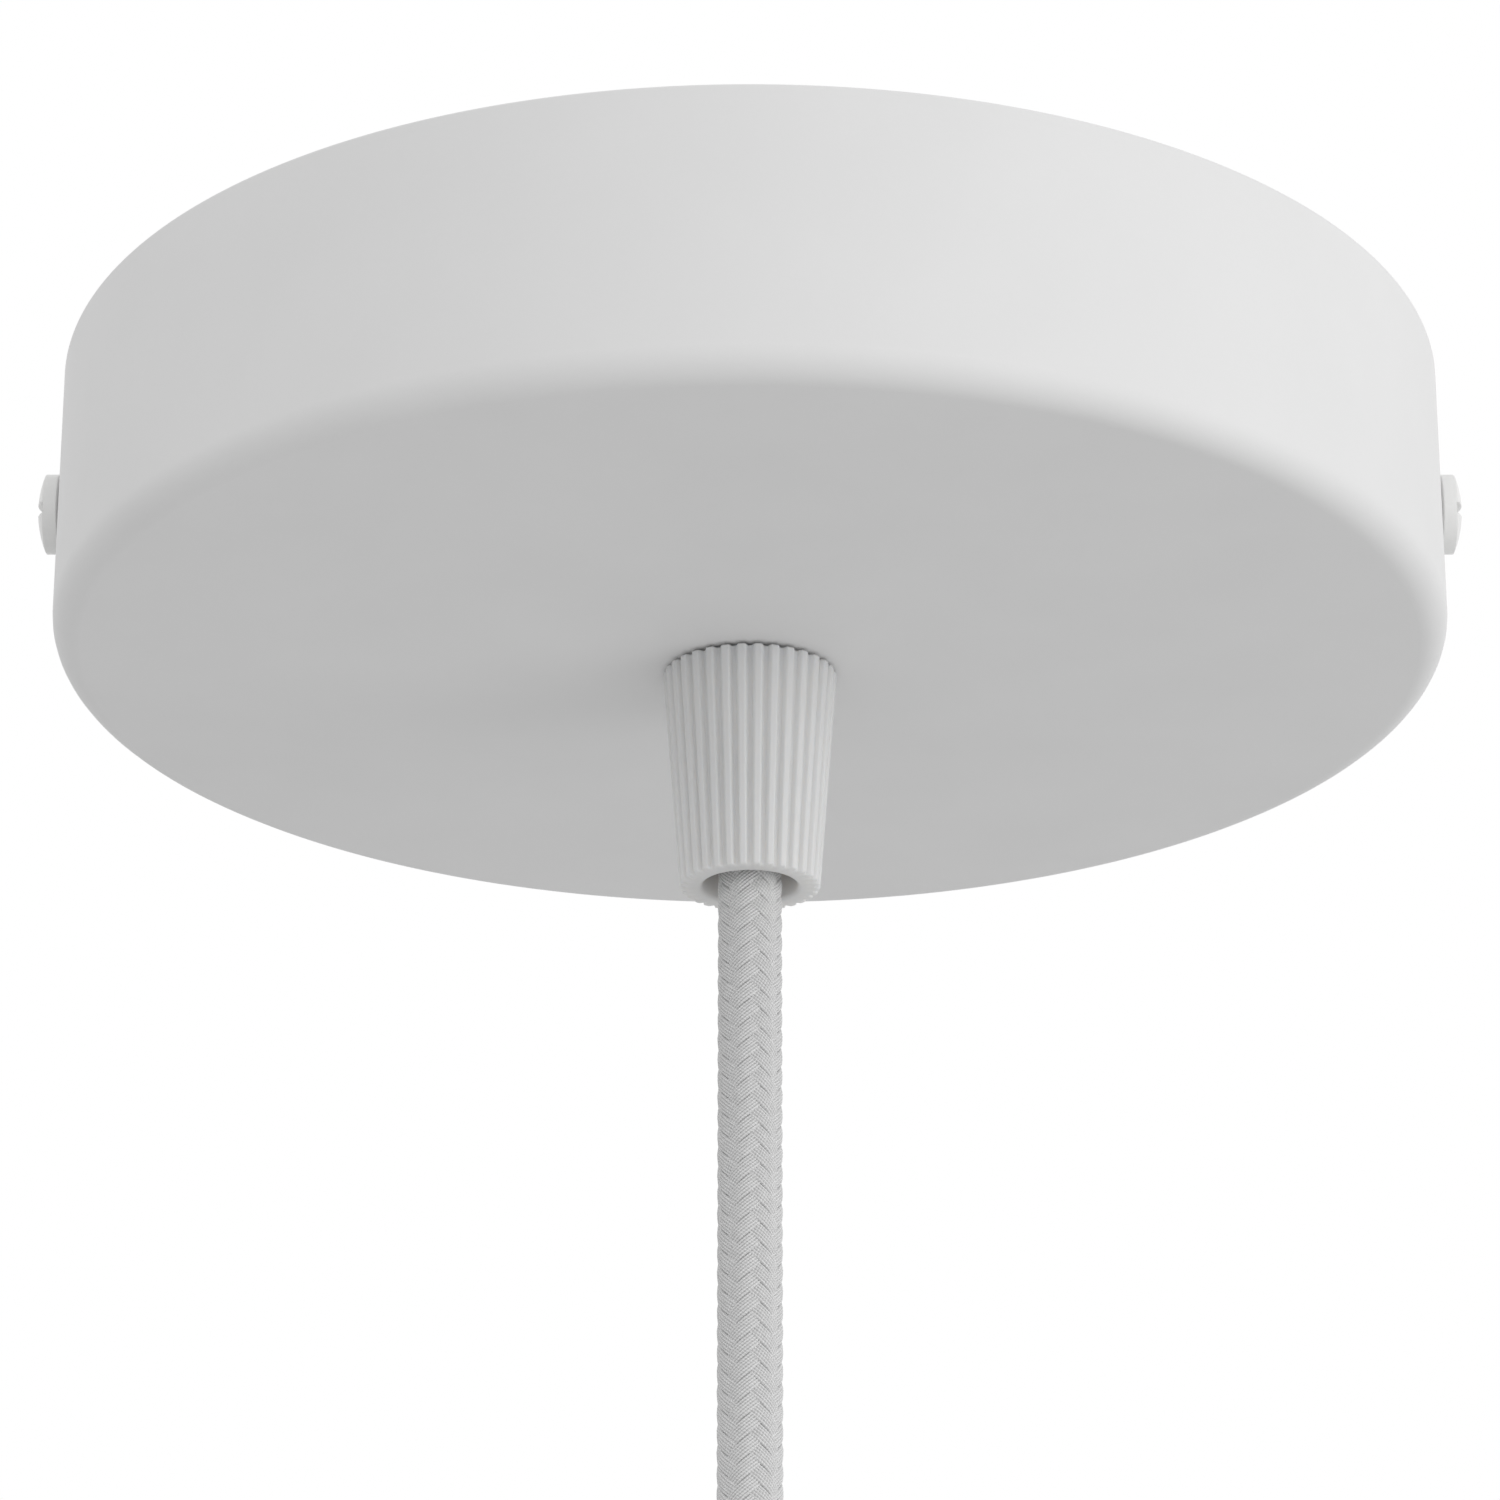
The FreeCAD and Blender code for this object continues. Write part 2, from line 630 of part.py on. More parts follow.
def cut_flutes(body):
    """Cut one tapered flute along the cone and repeat it round the axis."""
    before = body.Shape.Volume
    overrun = "flute_depth"
    ends = []
    for name, height, radius in (
            ("flute_top", f"cap_top + {overrun}", f"(cap_top_r + cap_taper * {overrun})"),
            ("flute_bottom", f"cap_bottom - {overrun}", f"(cap_bottom_r - cap_taper * {overrun})")):
        sketch = new_sketch(body, name, "XY_Plane", height)
        mouth = f"(pi * {radius} / flute_count * flute_share)"
        flare = "(2 - flute_floor_share)"
        outline(sketch, [
            (f"{radius} - flute_depth", f"-{mouth} * flute_floor_share"),
            (f"{radius} + flute_depth", f"-{mouth} * {flare}"),
            (f"{radius} + flute_depth", f"{mouth} * {flare}"),
            (f"{radius} - flute_depth", f"{mouth} * flute_floor_share"),
        ])
        ends.append(sketch)
    flute = body.newObject("PartDesign::SubtractiveLoft", "flute")
    flute.Profile = ends[0]
    flute.Sections = [ends[1]]
    flute.Ruled = True
    finish_feature(body, flute)
    check_cut(body, "flute", before)
    pattern = body.newObject("PartDesign::PolarPattern", "flutes")
    pattern.Originals = [flute]
    pattern.Axis = (origin_item(body, "Z_Axis"), [""])
    pattern.Angle = 360
    bind(pattern, "Occurrences", "flute_count")
    finish_feature(body, pattern)


def make_claw():
    """Split claw: a closed ring with four fingers that the cap's cone presses on the cable."""
    body = new_body("grip_claw")
    bore = "(cable_r + seat_gap)"
    turned(body, "collet", [
        (bore, "claw_top"),
        ("claw_r", "claw_top"),
        ("claw_r", "claw_ring_bottom"),
        ("claw_tip_r", "claw_bottom"),
        (bore, "claw_bottom"),
    ])
    for name, role in (("slit_along_x", "XZ_Plane"), ("slit_along_y", "YZ_Plane")):
        slit = new_sketch(body, name + "_place", role)
        outline(slit, [
            ("-stem_r", "claw_bottom - claw_slit"),
            ("stem_r", "claw_bottom - claw_slit"),
            ("stem_r", "claw_ring_bottom"),
            ("-stem_r", "claw_ring_bottom"),
        ])
        pocketed(body, name, slit, "claw_slit", symmetric=True)


# Cable


def make_cable():
    """Braided cable, straight from inside the canopy to just below the view."""
    cable = primitive("Cylinder", "pendant_cable", Radius="cable_r",
                      Height="cable_top - cable_bottom")
    place(cable, "0", "0", "cable_bottom")
    cable.Label = "pendant_cable"
    nodes.append(cable)


def make_cable_ends():
    """Inner sheath and shrink sleeve at both cut ends of the braid."""
    for end, cut, up in (("upper", "cable_top", "+"), ("lower", "cable_bottom", "-")):
        down = "-" if up == "+" else "+"
        sheath = new_body(end + "_sheath")
        turned(sheath, end + "_stub", [
            ("0", cut),
            ("sheath_r", cut),
            ("sheath_r", f"{cut} {up} sheath_shown"),
            ("0", f"{cut} {up} sheath_shown"),
        ])
        sleeve = new_body(end + "_sleeve")
        turned(sleeve, end + "_shrink", [
            ("cable_r", f"{cut} {down} sleeve_on_braid"),
            ("cable_r + sleeve_thickness", f"{cut} {down} sleeve_on_braid"),
            ("cable_r + sleeve_thickness", f"{cut} {up} sleeve_thickness"),
            ("sheath_r + sleeve_thickness", f"{cut} {up} sleeve_thickness * 2"),
            ("sheath_r + sleeve_thickness", f"{cut} {up} sleeve_on_sheath"),
            ("sheath_r", f"{cut} {up} sleeve_on_sheath"),
            ("sheath_r", cut),
            ("cable_r", cut),
        ])


def make_upper_cores():
    """Lead each core from the sheath to its terminal, in loose bends in front of the block."""
    radius = value("core_diameter / 2")
    out = value("core_circle")
    start_z, pole_z = value("sheath_top"), value("pole_z")
    mouth_y = -value("tube_length / 2")
    bends = {
        "earth": [(6.5, -11.0, -3.0), (13.0, -18.5, 0.0)],
        "neutral": [(3.0, -11.0, 1.2), (13.0, -21.0, 0.8), (22.0, -18.5, 0.0)],
        "live": [(-1.5, -13.0, -4.5), (13.0, -28.0, -2.2), (31.0, -23.0, 0.0)],
    }
    rises = {"earth": 3.5, "neutral": 7.5, "live": 3.8}
    for pole, step, angle in zip(POLES, POLE_STEPS, CORE_ANGLES):
        spread = Vector(out, 0, 0)
        spread = Rotation(Vector(0, 0, 1), angle).multVec(spread)
        start = spread + Vector(0, 0, start_z)
        pole_x = value("terminal_x") + step * value("terminal_pitch")
        points = [start, start + Vector(0, 0, rises[pole])]
        points += [Vector(x, y, pole_z + lift) for x, y, lift in bends[pole][:-1]]
        points += [Vector(pole_x, bends[pole][-1][1], pole_z), Vector(pole_x, mouth_y, pole_z)]
        shape_node(pole + "_core", wire_solid(points, radius, pole + "_core"))


def make_conductors():
    """Bared copper in the terminal tubes and in the ring terminal's barrel."""
    radius = value("conductor_diameter / 2")
    pole_z = value("pole_z")
    mouth = value("tube_length / 2")
    reach = mouth - value("clamp_screw_spacing / 2 - conductor_past_screw")
    pieces = []
    for step in POLE_STEPS:
        x = value("terminal_x") + step * value("terminal_pitch")
        pieces.append(Part.makeCylinder(radius, reach, Vector(x, -mouth, pole_z), Vector(0, 1, 0)))
    x = value("terminal_x - terminal_pitch")
    pieces.append(Part.makeCylinder(radius, reach, Vector(x, mouth, pole_z), Vector(0, -1, 0)))
    shape_node("conductor_ends", Part.makeCompound(pieces))


def make_earth_link():
    """Short earth wire from the earth pole, behind the bracket, to the ring terminal."""
    radius = value("core_diameter / 2")
    x, pole_z = value("terminal_x - terminal_pitch"), value("pole_z")
    lug_x, barrel_z = value("earth_screw_x"), value("barrel_z")
    core_end = value("lug_tongue_length + lug_barrel_length - core_in_barrel")
    points = [
        Vector(x, value("tube_length / 2"), pole_z),
        Vector(x, 17.0, pole_z),
        Vector(3.0, 25.0, pole_z - 1.5),
        Vector(-13.0, 26.0, barrel_z - 1.5),
        Vector(lug_x, 19.0, barrel_z),
        Vector(lug_x, core_end, barrel_z),
    ]
    shape_node("earth_link", wire_solid(points, radius, "earth_link"))


def make_lower_cores():
    """Three cores that spread a little below the lower sheath, each with a ferrule."""
    radius = value("core_diameter / 2")
    top, bottom = value("sheath_bottom"), value("core_end_bottom")
    out, spread = value("core_circle"), value("core_end_spread")
    drop = top - bottom
    ferrules = []
    for pole, angle in zip(POLES, CORE_ANGLES):
        turn = Rotation(Vector(0, 0, 1), angle)
        points = [turn.multVec(spot) for spot in (
            Vector(out, 0, top),
            Vector(out, 0, top - 0.3 * drop),
            Vector(spread, 0, top - 0.65 * drop),
            Vector(spread, 0, bottom),
        )]
        label = pole + "_core_end"
        shape_node(label, wire_solid(points, radius, label))
        ferrules.append(ferrule(points[-1]))
    shape_node("end_ferrules", Part.makeCompound(ferrules))


def ferrule(foot):
    """Bootlace ferrule under a core's end: plastic collar, then a crimped tube."""
    down = Vector(0, 0, -1)
    collar_r = value("ferrule_collar_diameter / 2")
    tube_r = value("ferrule_tube_diameter / 2")
    collar_length = value("ferrule_collar_length")
    core_r = value("core_diameter / 2")
    lap = collar_length / 2
    top = foot - down * lap
    collar = Part.makeCone(collar_r, tube_r, collar_length, foot, down)
    grip = Part.makeCylinder(collar_r, lap, top, down)
    hole = Part.makeCylinder(core_r, lap, top, down)
    tube = Part.makeCylinder(tube_r, value("ferrule_tube_length"), foot + down * lap, down)
    return grip.cut(hole).fuse([collar, tube]).removeSplitter()


# Terminals


def make_terminal_housing():
    """Three-pole housing: wire part against the bracket, screw towers below, notches between."""
    body = new_body("terminal_housing")
    side = new_sketch(body, "side_view", "YZ_Plane", "terminal_x")
    outline(side, [
        ("-terminal_base_width / 2", "bracket_under"),
        ("terminal_base_width / 2", "bracket_under"),
        ("terminal_base_width / 2", "terminal_step"),
        ("terminal_tower_width / 2", "terminal_step"),
        ("terminal_tower_width / 2", "terminal_bottom"),
        ("-terminal_tower_width / 2", "terminal_bottom"),
        ("-terminal_tower_width / 2", "terminal_step"),
        ("-terminal_base_width / 2", "terminal_step"),
    ])
    padded(body, "block", side, "terminal_length", symmetric=True)
    tower_side, step_z = value("terminal_tower_width / 2"), value("terminal_step")

    def outer_corner(edge):
        spot = edge.CenterOfMass
        inner = abs(abs(spot.y) - tower_side) < 1e-4 and abs(spot.z - step_z) < 1e-4
        return straight_along(edge, Vector(1, 0, 0)) and not inner

    rounded(body, "long_edges", outer_corner,
            "min(terminal_corner; (terminal_base_width - terminal_tower_width) / 4)")
    notches = new_sketch(body, "notch_place", "XZ_Plane")
    for sign in ("-", "+"):
        middle = f"terminal_x {sign} terminal_pitch / 2"
        half = "fixing_screw_head / 2 + hole_clearance * 2" if sign == "+" else "terminal_notch / 2"
        outline(notches, [
            (f"{middle} - ({half})", "terminal_step"),
            (f"{middle} + ({half})", "terminal_step"),
            (f"{middle} + ({half})", "terminal_bottom - terminal_notch"),
            (f"{middle} - ({half})", "terminal_bottom - terminal_notch"),
        ])
    pocketed(body, "notches", notches, "terminal_base_width * 2", symmetric=True)
    ways = new_sketch(body, "wire_way_place", "XZ_Plane")
    for step in POLE_STEPS:
        ring(ways, (f"terminal_x + {step} * terminal_pitch", "pole_z"),
             "tube_diameter / 2 + thread_clearance")
    pocketed(body, "wire_ways", ways, "terminal_base_width * 2", symmetric=True)
    wells = new_sketch(body, "well_place", "XY_Plane", "terminal_bottom")
    for step in POLE_STEPS:
        for sign in ("-", ""):
            ring(wells, (f"terminal_x + {step} * terminal_pitch",
                         sign + "clamp_screw_spacing / 2"), "clamp_well_diameter / 2")
    pocketed(body, "wells", wells, "pole_z - terminal_bottom", reverse=True)
    hole = new_sketch(body, "fixing_hole_place", "XY_Plane", "terminal_bottom")
    ring(hole, ("fixing_x", "0"), "fixing_screw_thread / 2 + hole_clearance")
    pocketed(body, "fixing_hole", hole, "canopy_height", reverse=True)
    seat = new_sketch(body, "head_seat_place", "XY_Plane", "terminal_bottom")
    ring(seat, ("fixing_x", "0"), "fixing_screw_head / 2 + hole_clearance")
    pocketed(body, "head_seat", seat, "fixing_head_z - terminal_bottom", reverse=True)


def make_terminal_tubes():
    """Three brass tubes, each with two tapped holes for its clamping screws."""
    tubes = []
    length, half = value("tube_length"), value("tube_length / 2")
    outer, inner = value("tube_diameter / 2"), value("tube_bore / 2")
    tapped = value("clamp_screw_thread / 2")
    pole_z = value("pole_z")
    for step in POLE_STEPS:
        x = value("terminal_x") + step * value("terminal_pitch")
        start = Vector(x, -half, pole_z)
        tube = Part.makeCylinder(outer, length, start, Vector(0, 1, 0))
        tools = [Part.makeCylinder(inner, length, start, Vector(0, 1, 0))]
        for side in (-1, 1):
            foot = Vector(x, side * value("clamp_screw_spacing / 2"), pole_z)
            tools.append(Part.makeCylinder(tapped, outer * 2, foot, Vector(0, 0, -1)))
        tubes.append(tube.cut(tools))
    shape_node("terminal_tubes", Part.makeCompound(tubes))


def make_terminal_screws():
    """Six slotted clamping screws; those over a conductor press on it."""
    radius = value("clamp_screw_thread / 2 - thread_clearance")
    head_r = value("clamp_well_diameter / 2 - hole_clearance")
    tip_on_wire = value("pole_z - conductor_diameter / 2")
    tip_open = value("pole_z - tube_bore / 2")
    head_top = value("pole_z - tube_diameter / 2 - thread_clearance")
    head_bottom = head_top - value("clamp_screw_head_height")
    slot_width, slot_depth = value("screw_slot_width"), value("screw_slot_depth")
    screws = []
    for step in POLE_STEPS:
        x = value("terminal_x") + step * value("terminal_pitch")
        for side in (-1, 1):
            y = side * value("clamp_screw_spacing / 2")
            tip = tip_on_wire if side < 0 or step == POLE_STEPS[0] else tip_open
            shank = Part.makeCylinder(radius, tip - head_bottom, Vector(x, y, head_bottom))
            head = Part.makeCylinder(head_r, head_top - head_bottom, Vector(x, y, head_bottom))
            slot = Part.makeBox(head_r * 4, slot_width, slot_depth,
                                Vector(x - head_r * 2, y - slot_width / 2, head_bottom))
            screws.append(shank.fuse(head).cut(slot))
    shape_node("terminal_screws", Part.makeCompound(screws))


def make_terminal_fixing_screw():
    """Screw through the housing into the bracket; it ends inside the strip."""
    screw = slotted_screw("terminal_fixing_screw", "fixing_screw_thread",
                          "(-fixing_head_z - seat_gap * 2)", "fixing_screw_head",
                          "(fixing_screw_head_height - inner_screw_dome)", "inner_screw_dome")
    place(screw, "fixing_x", "0", "fixing_head_z", Rotation(Vector(1, 0, 0), 180))
    nodes.append(screw)


def make_earth_screw():
    """Earth screw through the ring terminal into the bracket; it ends inside the strip."""
    screw = slotted_screw("earth_screw", "earth_screw_thread", "(-lug_under - seat_gap * 2)",
                          "earth_screw_head", "(earth_screw_head_height - inner_screw_dome)",
                          "inner_screw_dome")
    place(screw, "earth_screw_x", "0", "lug_under", Rotation(Vector(1, 0, 0), 180))
    nodes.append(screw)


def make_ring_terminal():
    """Ring terminal under the bracket: ring, tongue and a barrel crimped on the earth wire."""
    body = new_body("earth_ring_terminal")
    ring_face = new_sketch(body, "ring_outline", "XY_Plane", "lug_under")
    ring(ring_face, ("earth_screw_x", "0"), "lug_diameter / 2")
    padded(body, "ring", ring_face, "lug_thickness")
    tongue = new_sketch(body, "tongue_outline", "XY_Plane", "lug_under")
    outline(tongue, [
        ("earth_screw_x - lug_tongue_width / 2", "lug_diameter / 4"),
        ("earth_screw_x + lug_tongue_width / 2", "lug_diameter / 4"),
        ("earth_screw_x + lug_tongue_width / 2", "lug_tongue_length + lug_thickness"),
        ("earth_screw_x - lug_tongue_width / 2", "lug_tongue_length + lug_thickness"),
    ])
    padded(body, "tongue", tongue, "lug_thickness")
    barrel = new_sketch(body, "barrel_outline", "XZ_Plane",
                        "-lug_tongue_length - lug_barrel_length")
    ring(barrel, ("earth_screw_x", "barrel_z"), "lug_barrel_diameter / 2")
    padded(body, "barrel", barrel, "lug_barrel_length")
    way = new_sketch(body, "barrel_way_place", "XZ_Plane",
                     "-lug_tongue_length - lug_barrel_length")
    ring(way, ("earth_screw_x", "barrel_z"), "core_diameter / 2")
    pocketed(body, "barrel_way", way, "lug_barrel_length - lug_thickness", reverse=True)
    hole = new_sketch(body, "screw_hole_place", "XY_Plane")
    ring(hole, ("earth_screw_x", "0"), "earth_screw_thread / 2 + hole_clearance")
    pocketed(body, "screw_hole", hole, "canopy_height", symmetric=True)


def check_document():
    """Stop on any failed feature and on any empty or invalid sub-part."""
    doc.recompute()
    for item in doc.Objects:
        if "Invalid" in item.State or "Error" in item.State:
            raise RuntimeError(f"{item.Label} is in state {item.State}")
    for node in nodes:
        if node.Shape.isNull() or not node.Shape.isValid() or not node.Shape.Solids:
            raise RuntimeError(f"{node.Label} has no valid shape")


def write_parts():
    """Write each sub-part's shape to its own file."""
    os.makedirs(OUT_FOLDER, exist_ok=True)
    for node in nodes:
        node.Shape.exportStep(f"{OUT_FOLDER}/{node.Label}.step")
        print(node.Label, "solids", len(node.Shape.Solids), "volume", round(node.Shape.Volume, 1))


fill_sheet()
make_canopy()
make_side_screws()
make_bracket()
make_stem()
make_washer()
make_nut()
make_cap()
make_claw()
make_cable()
make_cable_ends()
make_upper_cores()
make_conductors()
make_earth_link()
make_lower_cores()
make_terminal_housing()
make_terminal_tubes()
make_terminal_screws()
make_terminal_fixing_screw()
make_ring_terminal()
make_earth_screw()
check_document()
write_parts()
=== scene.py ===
"""Ceiling rose with a fluted cord grip and a braided pendant cable, dressed for rendering.

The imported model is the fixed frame. Pieces are modelled in millimetres and turned to metres when
they are finished. The ceiling plane is z = 0, +Z points up into the ceiling, +X runs along the
mounting bracket, and the viewer stands on the -Y side, lower than the rose.
"""
import json
import logging
import math
from collections.abc import Iterable, Sequence
from dataclasses import dataclass
from enum import Enum

import bmesh
import bpy
from mathutils import Matrix, Vector

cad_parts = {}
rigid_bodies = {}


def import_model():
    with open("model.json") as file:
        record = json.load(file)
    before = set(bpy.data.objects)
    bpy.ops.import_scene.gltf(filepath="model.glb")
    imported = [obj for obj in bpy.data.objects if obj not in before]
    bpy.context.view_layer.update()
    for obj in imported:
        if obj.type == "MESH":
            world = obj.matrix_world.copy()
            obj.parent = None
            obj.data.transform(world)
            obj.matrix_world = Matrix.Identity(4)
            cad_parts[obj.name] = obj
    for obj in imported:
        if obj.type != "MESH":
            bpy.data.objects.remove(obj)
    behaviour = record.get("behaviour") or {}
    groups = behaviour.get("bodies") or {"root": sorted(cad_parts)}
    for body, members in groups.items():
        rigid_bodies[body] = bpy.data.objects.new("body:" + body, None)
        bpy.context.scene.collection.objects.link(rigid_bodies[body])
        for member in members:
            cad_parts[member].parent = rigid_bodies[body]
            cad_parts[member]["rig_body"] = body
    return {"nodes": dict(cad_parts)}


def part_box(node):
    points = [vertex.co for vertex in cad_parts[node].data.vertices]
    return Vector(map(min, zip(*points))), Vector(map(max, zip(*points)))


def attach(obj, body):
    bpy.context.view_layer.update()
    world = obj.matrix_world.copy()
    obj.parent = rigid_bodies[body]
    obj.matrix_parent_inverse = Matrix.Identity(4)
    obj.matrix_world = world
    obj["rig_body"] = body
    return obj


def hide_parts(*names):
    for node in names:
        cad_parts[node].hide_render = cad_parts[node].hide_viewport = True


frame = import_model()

LOG = logging.getLogger("ceiling_rose")
WHITE = "FFFFFF"
# A millimetre in metres
MM = 0.001
# In millimetres: points this near are one point, and a point this near to a cut lies on it
MERGE = 1e-3
CUT = 1e-4
# In degrees: faces that turn less than this are one flat face
FLAT = 0.5
# Profile of a round bevel
ROUND = 0.5

# Radius, height and rounding of a corner of a turned section
Corner = tuple[float, float, float]
# Three coordinates
Spot = tuple[float, float, float]


# Colours and nodes


def linear(hex_colour: str) -> tuple[float, float, float, float]:
    """Turn an sRGB hex colour to linear light by the standard curve.

    Args:
        hex_colour: six hex digits.

    Returns:
        Red, green, blue and alpha.
    """
    channels = []
    for start in (0, 2, 4):
        share = int(hex_colour[start:start + 2], 16) / 255
        channels.append(share / 12.92 if share <= 0.04045 else ((share + 0.055) / 1.055) ** 2.4)
    return (*channels, 1.0)


def add_node(tree: bpy.types.NodeTree, kind: str, inputs: dict | None = None,
             **settings: object) -> bpy.types.Node:
    """Add a node with its settings, and fill or link its inputs.

    Args:
        tree: the tree that the node goes into.
        kind: the node's type.
        inputs: a value or an output socket for each input, by name or index.
        **settings: the node's own settings.

    Returns:
        The node.
    """
    node = tree.nodes.new(kind)
    for name, setting in settings.items():
        setattr(node, name, setting)
    for name, given in (inputs or {}).items():
        if isinstance(given, bpy.types.NodeSocket):
            tree.links.new(given, node.inputs[name])
        else:
            node.inputs[name].default_value = given
    return node


class Grain(Enum):
    """How a surface was made, which gives its relief."""

    MOULDED = "moulded"
    COATED = "coated"
    SPANGLED = "spangled"
    WORKED = "worked"
    BRAIDED = "braided"


# Share of the fine grain in the tone, and the octaves of the grain, its clouds and the yarn
FINE_SHARE = {Grain.MOULDED: 0.15, Grain.COATED: 0.15, Grain.WORKED: 0.6, Grain.SPANGLED: 0.35}
OCTAVES = {Grain.MOULDED: 4.0, Grain.COATED: 1.0, Grain.WORKED: 4.0, Grain.BRAIDED: 2.0}
CLOUD_OCTAVES = 3.0
# A cloud of tone is this many grains wide, and a flake's own grain is this many times finer
CLOUD_WIDTH = 24
FLAKE_GRAIN = 8
# Waves on a bundle of yarn, in cycles per millimetre across it and per step along it: the
# furrows between yarns and the yarns' own twist, which sink the relief and are darkened with
# painted shade, and how strong that painted shade is
YARN_FURROWS = (4.0, 0.0, 0.0)
YARN_TWIST = (1.0, 1.84, 0.0)
YARN_PAINTED_SHADE = 0.22
# Filaments that begin per step along a bundle
FILAMENTS = 0.6
# How far red, green and blue go into a white moulding, as shares of its depth
GLOW_SHARES = (1.0, 0.9, 0.8)


@dataclass(frozen=True)
class Finish:
    """A real surface: its colours, its relief and how it takes the light.

    colour is the main tone, shade the one that the pattern leads to. grain_mm is the size of the
    relief's cells, relief_mm its height, and stretch how many times finer it is along each axis.
    The roughness moves by spread to either side with the tone. depth_mm is how far light goes in
    where there is subsurface.
    """

    name: str
    colour: str
    shade: str
    grain: Grain
    grain_mm: float
    relief_mm: float
    roughness: float
    spread: float = 0.05
    metallic: float = 0.0
    ior: float = 1.5
    sheen: float = 0.0
    subsurface: float = 0.0
    depth_mm: float = 1.0
    stretch: Spot = (1.0, 1.0, 1.0)

    def build(self) -> bpy.types.Material:
        """Make the material once.

        Returns:
            The material.
        """
        material = bpy.data.materials.get(self.name)
        if material:
            return material
        material = bpy.data.materials.new(self.name)
        material.use_nodes = True
        tree = material.node_tree
        tree.nodes.clear()
        height, tone = self.pattern(tree)
        colour = add_node(tree, "ShaderNodeMix", {0: tone, 6: linear(self.colour),
                                                  7: linear(self.shade)}, data_type="RGBA")
        rough = add_node(tree, "ShaderNodeMapRange", {
            "Value": tone, "To Min": self.roughness - self.spread,
            "To Max": self.roughness + self.spread})
        bump = add_node(tree, "ShaderNodeBump", {"Height": height, "Strength": 1.0,
                                                 "Distance": self.relief_mm * MM})
        shader = add_node(tree, "ShaderNodeBsdfPrincipled", {
            "Base Color": colour.outputs[2], "Roughness": rough.outputs[0],
            "Normal": bump.outputs[0], "Metallic": self.metallic, "IOR": self.ior,
            "Sheen Weight": self.sheen, "Subsurface Weight": self.subsurface,
            "Subsurface Scale": self.depth_mm * MM, "Subsurface Radius": GLOW_SHARES})
        add_node(tree, "ShaderNodeOutputMaterial", {"Surface": shader.outputs[0]})
        return material

    def pattern(self, tree: bpy.types.NodeTree) -> tuple[bpy.types.NodeSocket,
                                                        bpy.types.NodeSocket]:
        """Draw the relief and the change of tone.

        Args:
            tree: the material's tree.

        Returns:
            The sockets of the height and of the tone, both from 0 to 1.
        """
        if self.grain is Grain.BRAIDED:
            return self.yarn(tree)
        place = add_node(tree, "ShaderNodeTexCoord").outputs["Object"]
        place = add_node(tree, "ShaderNodeMapping", {"Vector": place,
                                                     "Scale": self.stretch}).outputs[0]
        scale = 1 / (self.grain_mm * MM)
        if self.grain is Grain.SPANGLED:
            cells = add_node(tree, "ShaderNodeTexVoronoi", {"Vector": place, "Scale": scale})
            broad = add_node(tree, "ShaderNodeSeparateColor", {0: cells.outputs["Color"]})
            fine = add_node(tree, "ShaderNodeTexNoise", {"Vector": place,
                                                         "Scale": scale * FLAKE_GRAIN})
        else:
            broad = add_node(tree, "ShaderNodeTexNoise", {
                "Vector": place, "Scale": scale / CLOUD_WIDTH, "Detail": CLOUD_OCTAVES})
            fine = add_node(tree, "ShaderNodeTexNoise", {"Vector": place, "Scale": scale,
                                                         "Detail": OCTAVES[self.grain]})
        tone = add_node(tree, "ShaderNodeMix", {0: FINE_SHARE[self.grain], 2: broad.outputs[0],
                                                3: fine.outputs[0]})
        return fine.outputs[0], tone.outputs[0]

    def yarn(self, tree: bpy.types.NodeTree) -> tuple[bpy.types.NodeSocket,
                                                     bpy.types.NodeSocket]:
        """Draw filaments, and darken the furrows between yarns and their twist with painted shade,
        from the piece's attributes.

        Args:
            tree: the material's tree.

        Returns:
            The sockets of the height and of the tone.
        """
        across = add_node(tree, "ShaderNodeAttribute", attribute_name="across").outputs["Fac"]
        along = add_node(tree, "ShaderNodeAttribute", attribute_name="along").outputs["Fac"]
        spot = add_node(tree, "ShaderNodeCombineXYZ", {0: across, 1: along}).outputs[0]
        place = add_node(tree, "ShaderNodeMapping", {
            "Vector": spot, "Scale": (1 / self.grain_mm, FILAMENTS, 1.0)}).outputs[0]
        tone = add_node(tree, "ShaderNodeTexNoise", {
            "Vector": place, "Scale": 1.0, "Detail": OCTAVES[self.grain]}).outputs[0]
        for cycles in (YARN_FURROWS, YARN_TWIST):
            turns = add_node(tree, "ShaderNodeVectorMath", {
                0: spot, 1: Vector(cycles) * math.tau}, operation="DOT_PRODUCT")
            wave = add_node(tree, "ShaderNodeMath", {0: turns.outputs["Value"]},
                            operation="COSINE")
            # Painted shade: each furrow and twist line pulls the tone towards the darker colour
            tone = add_node(tree, "ShaderNodeMath", {0: wave.outputs[0], 1: -YARN_PAINTED_SHADE,
                                                     2: tone}, operation="MULTIPLY_ADD").outputs[0]
        height = add_node(tree, "ShaderNodeMath", {0: 1.0, 1: tone}, operation="SUBTRACT")
        return height.outputs[0], tone


# Powder coat: even soft white with the faintest orange peel
POWDER_COAT = Finish("powder_coated_steel", "ECECEC", "E7E7E7", Grain.COATED, 0.5, 0.004, 0.62,
                     ior=1.4)
# Stoved paint on the screw heads: a little smoother than the cup, so it shows a soft highlight
SCREW_PAINT = Finish("stoved_paint_on_steel", "F0F0EF", "E9E9E8", Grain.COATED, 0.3, 0.003, 0.38)
# Moulded nylon: milky white, and light goes through the ridges and the thin wall
NYLON = Finish("moulded_white_nylon", "E4E4E4", "DEDEDD", Grain.MOULDED, 0.35, 0.004, 0.5,
               subsurface=0.5, depth_mm=3.0)
# Polyester yarn: dull white, finely hatched by painted shade in the furrows between yarns and
# along their twist, with a soft sheen at grazing angles; its filaments are drawn 0.06 mm wide,
# three times the real width, so that they show
YARN = Finish("braided_polyester_yarn", "F0F0F0", "C4C4C4", Grain.BRAIDED, 0.06, 0.03, 0.85,
              sheen=0.15)
